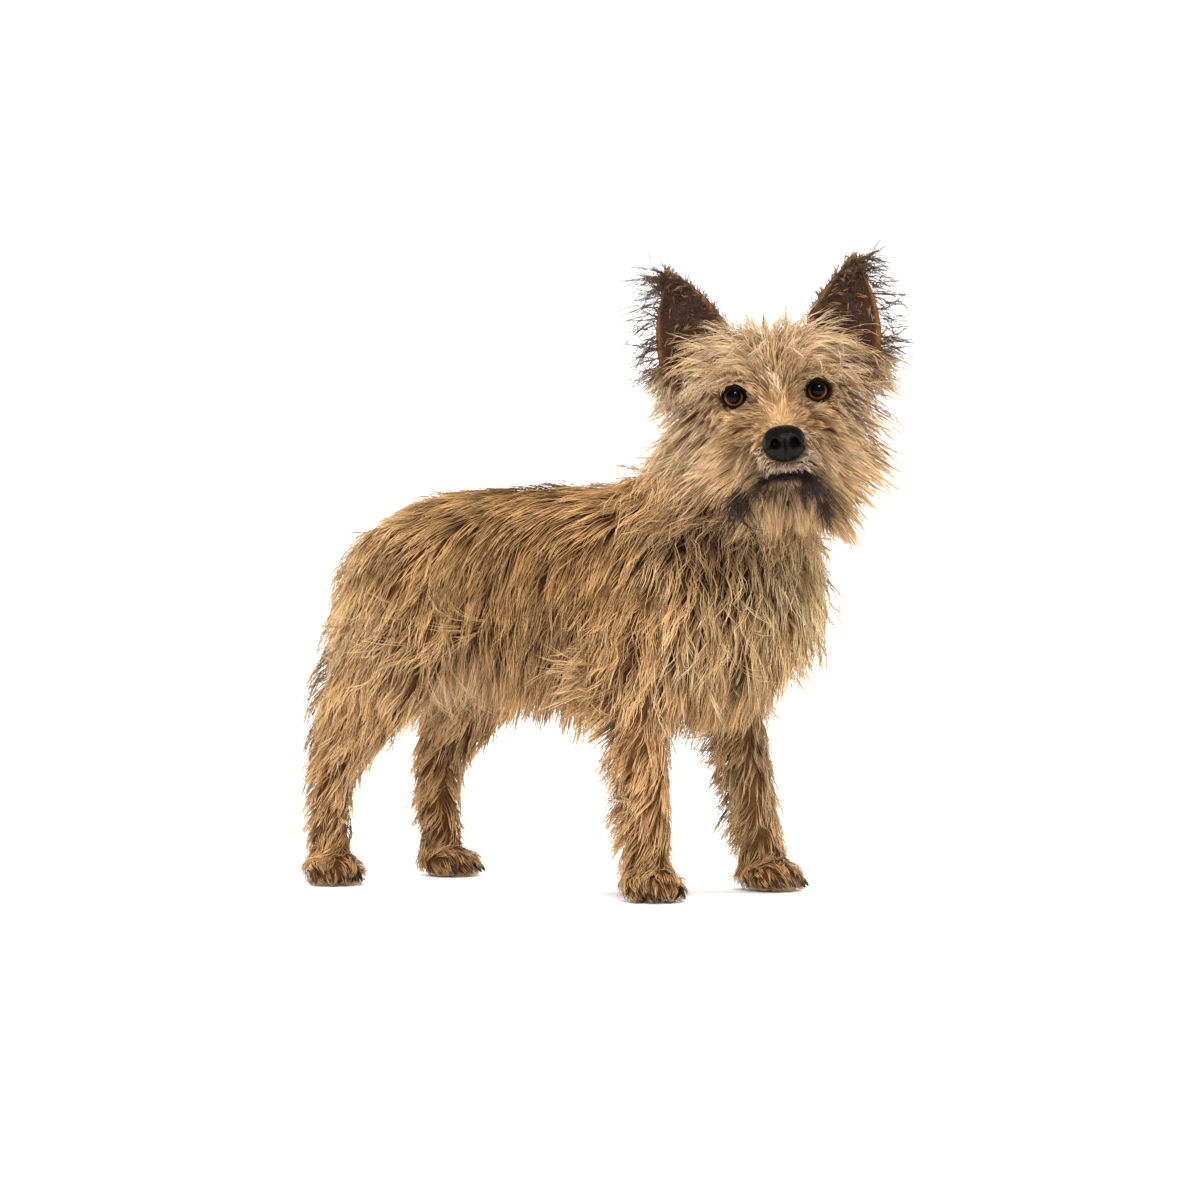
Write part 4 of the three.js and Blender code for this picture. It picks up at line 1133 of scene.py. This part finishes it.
# locks on the front of the head, about a place (y, z), on both sides
faceTufts = rowsOf("at spread way length width count root tip fall out shift", [
    ((18, -49), (3, 1.6), (0.3, 0.5, -0.9), (8, 22), 0.42, 180, (36, 26, 20), (64, 48, 38), 0.05, 6, -2),
    ((26, -54), (3, 3), (0.15, 0.3, -1), (12, 36), 0.38, 138, (40, 29, 22), (62, 46, 36), 0.05, 10, -5),
    ((32, -61), (3, 5), (0.05, 0.0, -1), (16, 44), 0.34, 60, (56, 42, 32), (46, 35, 28), 0.05, 16, -7),
    ((8, -45), (7, 1.0), (0.5, 0.4, -0.9), (3, 7), 0.36, 420, (26, 19, 16), (36, 28, 24), 0.05, 0, 0),
    ((5, -40.5), (6, 1.2), (0.3, 0.5, -1), (2, 5), 0.45, 200, (112, 94, 82), (190, 172, 154), 0.04, 0, 0),
    ((11, -30), (2.5, 6), (0.2, 1, -0.5), (5, 10), 0.45, 240, (140, 114, 90), (214, 192, 164), 0.04, 0, 0),
    ((30, 23), (6, 2), (0.8, 0.5, -0.25), (8, 17), 0.42, 200, (130, 96, 60), (218, 186, 144), 0.06, 0, 0),
    ((18.5, 5), (1.4, 2.4), (0.5, -0.1, -0.9), (3, 7), 0.45, 140, (30, 22, 18), (64, 46, 34), 0.03, 0, 0),
    ((6, -54), (5, 2), (0.4, 0.3, -1), (26, 44), 0.28, 12, (60, 46, 38), (38, 30, 26), 0.03, 3, 0),
    ((0.5, 16), (0.8, 6), (0.2, 0.1, 1), (9, 16), 0.4, 30, (200, 168, 128), (242, 218, 182), 0.0, 0, 0),
    ((12, 41), (14, 3), (0.1, 0.6, 1), (30, 54), 0.4, 170, (170, 134, 92), (236, 212, 176), 0.12, 0, 0),
    ((42, 30), (6, 8), (0.3, 1, 0.32), (22, 44), 0.4, 190, (150, 114, 76), (234, 210, 176), 0.08, 0, 0),
])


# long pale locks on the body about a place, on both sides
bodyTufts = rowsOf("at spread way length width count root tip fall", [
    ((-70, -64, 186), (28, 3, 10), (-1, -0.2, -0.3), (32, 74), 0.4, 180,
     (150, 110, 66), (232, 192, 142), -0.03),
    ((-92, -46, 172), (14, 8, 7), (-0.2, -0.1, -1), (36, 74), 0.5, 120,
     (156, 118, 76), (236, 204, 158), 0.02),
    ((66, -60, 166), (10, 4, 9), (-1, -0.3, -0.12), (34, 66), 0.55, 105,
     (150, 110, 66), (232, 194, 144), 0.05),
    ((150, -52, 190), (26, 8, 26), (0.1, -0.4, -1), (34, 70), 0.5, 180,
     (150, 112, 70), (255, 228, 180), 0.02),
    ((92, -60, 90), (6, 6, 34), (-0.9, -0.3, -0.6), (22, 42), 0.5, 120,
     (150, 108, 62), (238, 196, 146), 0.02),
    ((-150, -58, 110), (14, 5, 34), (-0.5, -0.3, -0.8), (24, 46), 0.5, 120,
     (150, 108, 62), (240, 200, 150), 0.02),
])


def sprout(roots, way, facing, kind, spot, onHead=True):
    # locks of a few hairs from these places, in the head's frame or the dog's
    each = strands["perTuft"]
    count, steps = len(roots), strands["points"]
    t = np.linspace(0, 1, steps)[None, :, None]
    long = np.interp(rng.random((count, 1)), (0, 1), kind["length"])
    bend = rng.normal(0, 0.09, (count, 3)) + np.array([0, 0, -1]) * kind["fall"]
    path = [roots]
    for _ in range(1, steps):
        way = unit(way) + bend
        path.append(path[-1] + unit(way) * long / (steps - 1))
    path = np.repeat(np.stack(path, 1), each, 0)
    many = len(path)
    small = np.repeat(np.clip(long / 20, 0.3, 1), each, 0)[:, None]
    apart = (rng.normal(0, 0.7, (many, 1, 3)) * (1 - t) + rng.normal(0, 1.0, (many, 1, 3)) * t) * small
    path = shortened(path, 0.7 + 0.35 * rng.random((many, 1, 1))) + apart
    if onHead:
        path, facing = fromHead(path.reshape(-1, 3)).reshape(path.shape), facing @ headTurn.T
    ways = np.repeat(np.repeat(facing[:, None], steps, 1), each, 0)
    shade = 1 + rng.normal(0, 0.16, (many, 1))
    tints = [np.tile(colour(*kind[key]), (many, 1)) * shade for key in ("root", "tip")]
    return path, ways, np.full(many, kind["width"]), *tints, np.repeat(spot, each, 0)


def addBatches(name, batches, slot, points):
    merged = [np.concatenate(values) for values in zip(*batches)]
    clear = ~crossesFace(merged[0], mouthToo=False)
    print(name, addCoat(name, *[values[clear] for values in merged], slot, points), "triangles")


def addEarHair(piece, names, points):
    batches = []
    for name in names:
        kind = earHair[name]
        for side in (-1, 1):
            count = kind["count"] // strands["perTuft"]
            up = np.interp(rng.random(count), (0, 1), kind["up"])
            across = np.interp(rng.random(count), (0, 1), kind["across"])
            root = earPlace(side, up, across)
            low = np.minimum(up, 0.9)
            outwards = unit(earPlace(side, low, 1) - earPlace(side, low, 0))
            above, below = np.minimum(up + 0.04, 1), np.maximum(up - 0.04, 0)
            rise = unit(earPlace(side, above, across) - earPlace(side, below, across))
            front = unit(np.cross(outwards, rise)) * side
            facing = -front if name == "back" else front
            covers = name in ("lining", "back", "foot")
            lift = 0.15 + 0.35 * rng.random((count, 1)) if covers else rng.normal(0, 0.3, (count, 1))
            way = outwards * kind["out"] + rise * kind["rise"] + facing * lift
            way = way + rng.normal(0, 0.2, (count, 3))
            left, bottom, wide, tall = atlas["ears"]
            spot = np.stack([left + (across * 0.45 + (side > 0) * 0.5) * wide, bottom + up * 0.95 * tall], 1)
            batches.append(sprout(root + facing * 0.3, way, facing, kind, spot))
    addBatches(piece, batches, "dark_coat", points)


def onFront(y, z):
    # where a line from before the head meets its skin at this width and height, and None past the head
    start, most = 160, 180
    place, _, _, away = skinTree.ray_cast(Vector(fromHead((start, y, z))), Vector(headTurn @ (-1, 0, 0)))
    return None if place is None or away > most else toHead(np.array(place))


def addFaceTufts():
    batches = []
    for kind in faceTufts:
        for side in (-1, 1):
            count = kind["count"] // strands["perTuft"]
            spots = (rng.normal(0, 1, (count, 2)) * kind["spread"] + kind["at"]) * (side, 1)
            spots = spots + (kind["shift"], 0)
            found = [onFront(y, z) for y, z in spots]
            ahead = np.array([face["behind"] if place is None else place[0] for place in found])
            if kind["out"]:
                ahead = np.maximum(ahead, face["muzzle"])
            roots = np.column_stack([ahead, spots])
            way = unit(np.array(kind["way"]) * (1, side, 1)) + rng.normal(0, 0.2, (count, 3))
            facing = np.tile([1.0, 0, 0], (count, 1))
            spot = onMap(*regionOf(fromHead(roots)))
            batch = sprout(roots + (kind["out"] - 0.5, 0, 0), way, facing, kind, spot)
            batch[0][:, 0], _ = nearestSkin(batch[0][:, 0])     # every hair starts on the skin
            batches.append(batch)
    addBatches("coatFace", batches, "pale_coat", (0, 3, 5, 7, 9))


def addBodyTufts():
    batches = []
    for kind in bodyTufts:
        for side in (-1, 1):
            count = kind["count"] // strands["perTuft"]
            roots = (rng.normal(0, 1, (count, 3)) * kind["spread"] + kind["at"]) * (1, -side, 1)
            roots, normals = nearestSkin(roots)
            way = unit(np.array(kind["way"]) * (1, -side, 1)) + rng.normal(0, 0.16, (count, 3))
            way = way + normals * 0.25
            spot = onMap(*regionOf(roots))
            batches.append(sprout(roots + normals * 3, way, normals, kind, spot, onHead=False))
    addBatches("coatWisps", batches, "sandy_coat", (0, 2, 4, 6, 9))


addBodyTufts()
addEarHair("coatEarsLong", ("fringe", "tipTuft", "foot", "side"), (0, 2, 4, 6, 9))
addEarHair("coatEarsShort", ("lining", "back", "innerRim"), (0, 3, 6, 9))
addFaceTufts()

lids = {
    "wide": 8.0, "tall": 6.4, "points": 64, "edge": (12, 8, 7), "skin": (50, 34, 25),
    # each ring of a lid: how far outwards, how far over the ball, and how much of the skin's colour
    "rings": [
        (0.0, 0.05, 0), (0.0, 0.7, 0), (0.5, 1.2, 0.1), (1.2, 1.4, 0.35), (2.0, 1.2, 0.8), (3.0, 0.4, 1),
        (4.0, -1.2, 1)]}


def addEyes():
    balls, values, paintedLidShade = [], [], []
    ahead, radius, behind = np.array([1.0, 0, 0]), eyes["radius"], 12
    for side in (-1, 1):
        polar, around = ballGrid(40, 48)
        ring = np.where(polar < np.pi / 2, np.sin(polar) * radius, behind)
        points = around * (radius + eyes["bulge"] * smooth(7.0, 3.0, ring))[..., None]
        points, faces = ballMesh(points, ahead * (radius + eyes["bulge"]), -ahead * radius)
        balls.append((fromHead(points @ eyeTurn(side).T + eyeMiddle(side)), faces))
        values.append(np.concatenate([[0], ring.ravel(), [behind]]))
        # painted shade: the ball darker toward the top, where the upper lid shades it
        paintedLidShade.append(np.concatenate([[0.8], 0.06 + 0.94 * smooth(3.5, -4.5, points[1:-1, 2]), [0.2]]))
    points, faces = join(balls)
    piece = addPiece("eyeballs", points, faces, eyeFinish())
    for name, parts in (("ring", values), ("shade", paintedLidShade)):
        layer = piece.data.attributes.new(name, "FLOAT", "POINT")
        layer.data.foreach_set("value", np.concatenate(parts))
    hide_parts("eye_right", "eye_left")


def addLids():
    parts, tints = [], []
    count = lids["points"]
    turn = turnsOf(count)
    for side in (-1, 1):
        rings = []
        for outwards, over, _ in lids["rings"]:
            y = (lids["wide"] + outwards) * np.cos(turn)
            z = (lids["tall"] + outwards) * np.sin(turn) * (1 - 0.16 * np.cos(turn) ** 2) - 0.3
            size = np.minimum(np.hypot(y, z), eyes["radius"] + over - 0.4) / np.hypot(y, z)
            y, z = y * size, z * size
            x = np.sqrt(np.maximum((eyes["radius"] + over) ** 2 - y**2 - z**2, 0.2))
            rings.append(np.stack([x, y, z], 1))
        points = np.array(rings).reshape(-1, 3) @ eyeTurn(side, 0.6).T + eyeMiddle(side)
        parts.append((fromHead(points), gridFaces(len(rings), count)))
        shares = np.repeat([share for _, _, share in lids["rings"]], count)[:, None]
        tints.append(blend(colour(*lids["edge"]), colour(*lids["skin"]), shares))
    points, faces = join(parts)
    addPiece("lids", points, faces, lidFinish(), tint=np.vstack(tints))


addEyes()
addLids()
print("eyes and lids done")

nose = {
    "at": face["nose"], "radii": (11, 14.5, 12.5), "square": 0.86, "nostril": (6.6, 0.2),
    "nostrilSize": (2.6, 2.9), "depth": 6.5, "slit": 2.4, "groove": 1.3, "wing": 0.9, "wingAt": (9.5, 2.5),
    "wingSize": (2.5, 3.2)}


def addNose():
    # a squarish ball with nostrils, their slits, the groove between them and the wings about them
    _, around = ballGrid(90, 120)
    around = np.sign(around) * abs(around) ** nose["square"]
    points = around * nose["radii"]
    y, z = points[..., 1], points[..., 2]
    y *= 1 - 0.20 * smooth(-2, -12.5, z) + 0.03 * smooth(0, 8, z)     # narrower below
    wide = abs(y)
    hole, wing = [
        ((wide - at[0]) / size[0]) ** 2 + ((z - at[1]) / size[1]) ** 2
        for at, size in ((nose["nostril"], nose["nostrilSize"]), (nose["wingAt"], nose["wingSize"]))]
    hole = np.exp(-hole**1.5)
    along = np.clip((wide - nose["nostril"][0]) / 7.0, 0, 1)
    slit = np.exp(-((z - (nose["nostril"][1] - 4.2 * along)) ** 2))
    slit = slit * smooth(5.5, 7.5, wide) * smooth(15, 12, wide)
    groove = np.exp(-((y / 0.55) ** 2)) * smooth(4, 0, z)
    front = smooth(0.0, 0.35, around[..., 0])
    hollow = nose["depth"] * hole + nose["slit"] * slit * (1 - hole) + nose["groove"] * groove
    points[..., 0] -= front * hollow
    points[..., 0] += front * nose["wing"] * np.exp(-wing)
    at, ahead = np.array(nose["at"]), np.array([1.0, 0, 0])
    tip = at + ahead * (nose["radii"][0] - nose["groove"])
    points, faces = ballMesh(points + at, tip, at - ahead * nose["radii"][0])
    piece = addPiece("noseLeather", fromHead(points), faces, noseFinish())
    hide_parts("nose")
    print("nose:", len(faces), "faces")


addNose()


def tube(line, radii, sides=10, flat=1.0):
    # a closed tube along a line, taller than it is wide by flat
    line, radii = np.asarray(line, float), np.asarray(radii, float)
    along = unit(np.gradient(line, axis=0))
    side = unit(np.cross(along, [0.02, 0.01, 1.0]))
    up = np.cross(side, along)
    turn = turnsOf(sides)
    rings = line[:, None] + radii[:, None, None] * (
        side[:, None] * np.cos(turn)[None, :, None] + up[:, None] * np.sin(turn)[None, :, None] * flat)
    return ballMesh(rings, line[0], line[-1])


mouth = {"wide": 30, "height": -46.5, "drop": 12, "radius": 1.3, "proud": 0.4, "points": 61}


def addMouth():
    # a wide arch on the front of the muzzle
    line = []
    for y in np.linspace(-mouth["wide"], mouth["wide"], mouth["points"]):
        place = onFront(y, mouth["height"] - mouth["drop"] * abs(y / mouth["wide"]) ** 2.2)
        if place is not None:
            line.append(fromHead(place + (mouth["proud"], 0, 0)))
    taper = np.sin(np.linspace(0.15, np.pi - 0.15, len(line))) ** 0.5
    points, faces = tube(line, mouth["radius"] * taper)
    look = plainFinish("lipLeather", colour(9, 6, 5), {"Roughness": 0.9, "Specular IOR Level": 0.05}, 0.0005)
    addPiece("lips", points, faces, look)
    print("lips:", len(line), "points")


claws = {"start": 4.2, "length": 10.5, "radius": 2.3, "bend": 8.0, "rise": 1.5}


def addClaws():
    parts = []
    for foot in feet:
        for (x, y, z), lean in toePlaces():
            t = np.linspace(0, 1, 9)
            ahead = claws["start"] + claws["length"] * t
            c, s = math.cos(math.radians(lean)), math.sin(math.radians(lean))
            high = z + 1 + claws["rise"] * t - claws["bend"] * t**2
            line = np.stack([x + ahead * c, y + ahead * s, high], 1)
            points, faces = tube(line, claws["radius"] * np.sqrt(1 - t * 0.93), flat=1.15)
            parts.append((onFoot(foot, points), faces))
    points, faces = join(parts)
    look = plainFinish("darkHorn", colour(34, 29, 27), {"Roughness": 0.32})
    piece = addPiece("claws", points, faces, look)
    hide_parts(*[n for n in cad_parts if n.startswith("claw_")])
    print("claws:", len(parts))


addMouth()
addClaws()

studio = {
    "floor": (0.93, 0.93, 0.93), "sky": 0.46, "middle": (0, 0, 0.25),
    "sweep": {"flat": 2.2, "round": 1.4, "tall": 3.4, "wide": 5.0, "behind": 3.0},
    # each lamp's place and aim as steps along the view, across it and up, then its size and power
    "lamps": {
        "keyLight": ((-1.6, -0.25, 1.6), (0, 0, 0), 1.0, 30.0),
        "fillLight": ((-1.6, -1.6, 0.7), (0, 0, 0), 1.4, 20.0),
        "catchLight": ((-1.8, 0.42, 1.0), (0, 0, 0.1), 0.34, 21.0),
        "topLight": ((0.5, 0, 2.1), (0, 0, 0), 1.6, 14.0),
        "backdropLeft": ((1.4, -2.4, 2.35), (3.4, 0, 0.55), 1.6, 130.0),
        "backdropRight": ((1.4, 2.4, 2.35), (3.4, 0, 0.55), 1.6, 130.0)}}
viewAxes = np.array([viewpoint["look"], (viewpoint["look"][1], -viewpoint["look"][0], 0), (0, 0, 1.0)])


def addLamp(name, at, aim, size, power):
    lamp = bpy.data.lights.new(name, "AREA")
    lamp.shape, lamp.size, lamp.energy = "SQUARE", size, power
    place, goal = [Vector(np.array(studio["middle"]) + steps @ viewAxes) for steps in (at, aim)]
    holder = placeObject(name, lamp)
    holder.location = place
    holder.rotation_euler = (goal - place).to_track_quat("-Z", "Y").to_euler()
    holder.visible_glossy = name == "catchLight"    # only this one shows in the eyes


def sweepMesh():
    # the floor, bent up into a wall behind the dog
    sweep = studio["sweep"]
    turn = np.linspace(0, np.pi / 2, 24)
    flat, bend = sweep["flat"], sweep["round"]
    ahead = np.concatenate([[-sweep["behind"]], flat + bend * np.sin(turn), [flat + bend]])
    high = np.concatenate([[0], bend * (1 - np.cos(turn)), [sweep["tall"]]])
    look, across, up = viewAxes
    rows = look * ahead[:, None] + up * high[:, None]
    points = np.concatenate([rows - across * sweep["wide"], rows + across * sweep["wide"]])
    count = len(rows)
    return points.tolist(), [[i, i + count, i + count + 1, i + 1] for i in range(count - 1)]


def addStudio():
    mesh = bpy.data.meshes.new("floor")
    points, faces = sweepMesh()
    mesh.from_pydata(points, [], faces)
    mesh.polygons.foreach_set("use_smooth", np.ones(len(faces), bool))
    floor = placeObject("floor", mesh)
    mesh.materials.append(plainFinish("paleFloor", studio["floor"], {"Roughness": 0.7}))
    world = bpy.data.worlds.new("studio")
    world.use_nodes = True
    background = world.node_tree.nodes["Background"]
    background.inputs["Color"].default_value = (1, 1, 1, 1)
    background.inputs["Strength"].default_value = studio["sky"]
    bpy.context.scene.world = world
    for name, settings in studio["lamps"].items():
        addLamp(name, *settings)
    print("studio:", len(studio["lamps"]), "lamps")


addStudio()


def addCamera():
    data = bpy.data.cameras.new("camera")
    data.lens, data.sensor_width, data.clip_end = viewpoint["lens"], 36, 50
    camera = placeObject("camera", data)
    camera.location = toWorld(viewpoint["at"])
    camera.rotation_euler = Vector(viewpoint["look"]).to_track_quat("-Z", "Y").to_euler()
    bpy.context.scene.camera = camera


addCamera()
bpy.context.scene.view_settings.view_transform = "Standard"
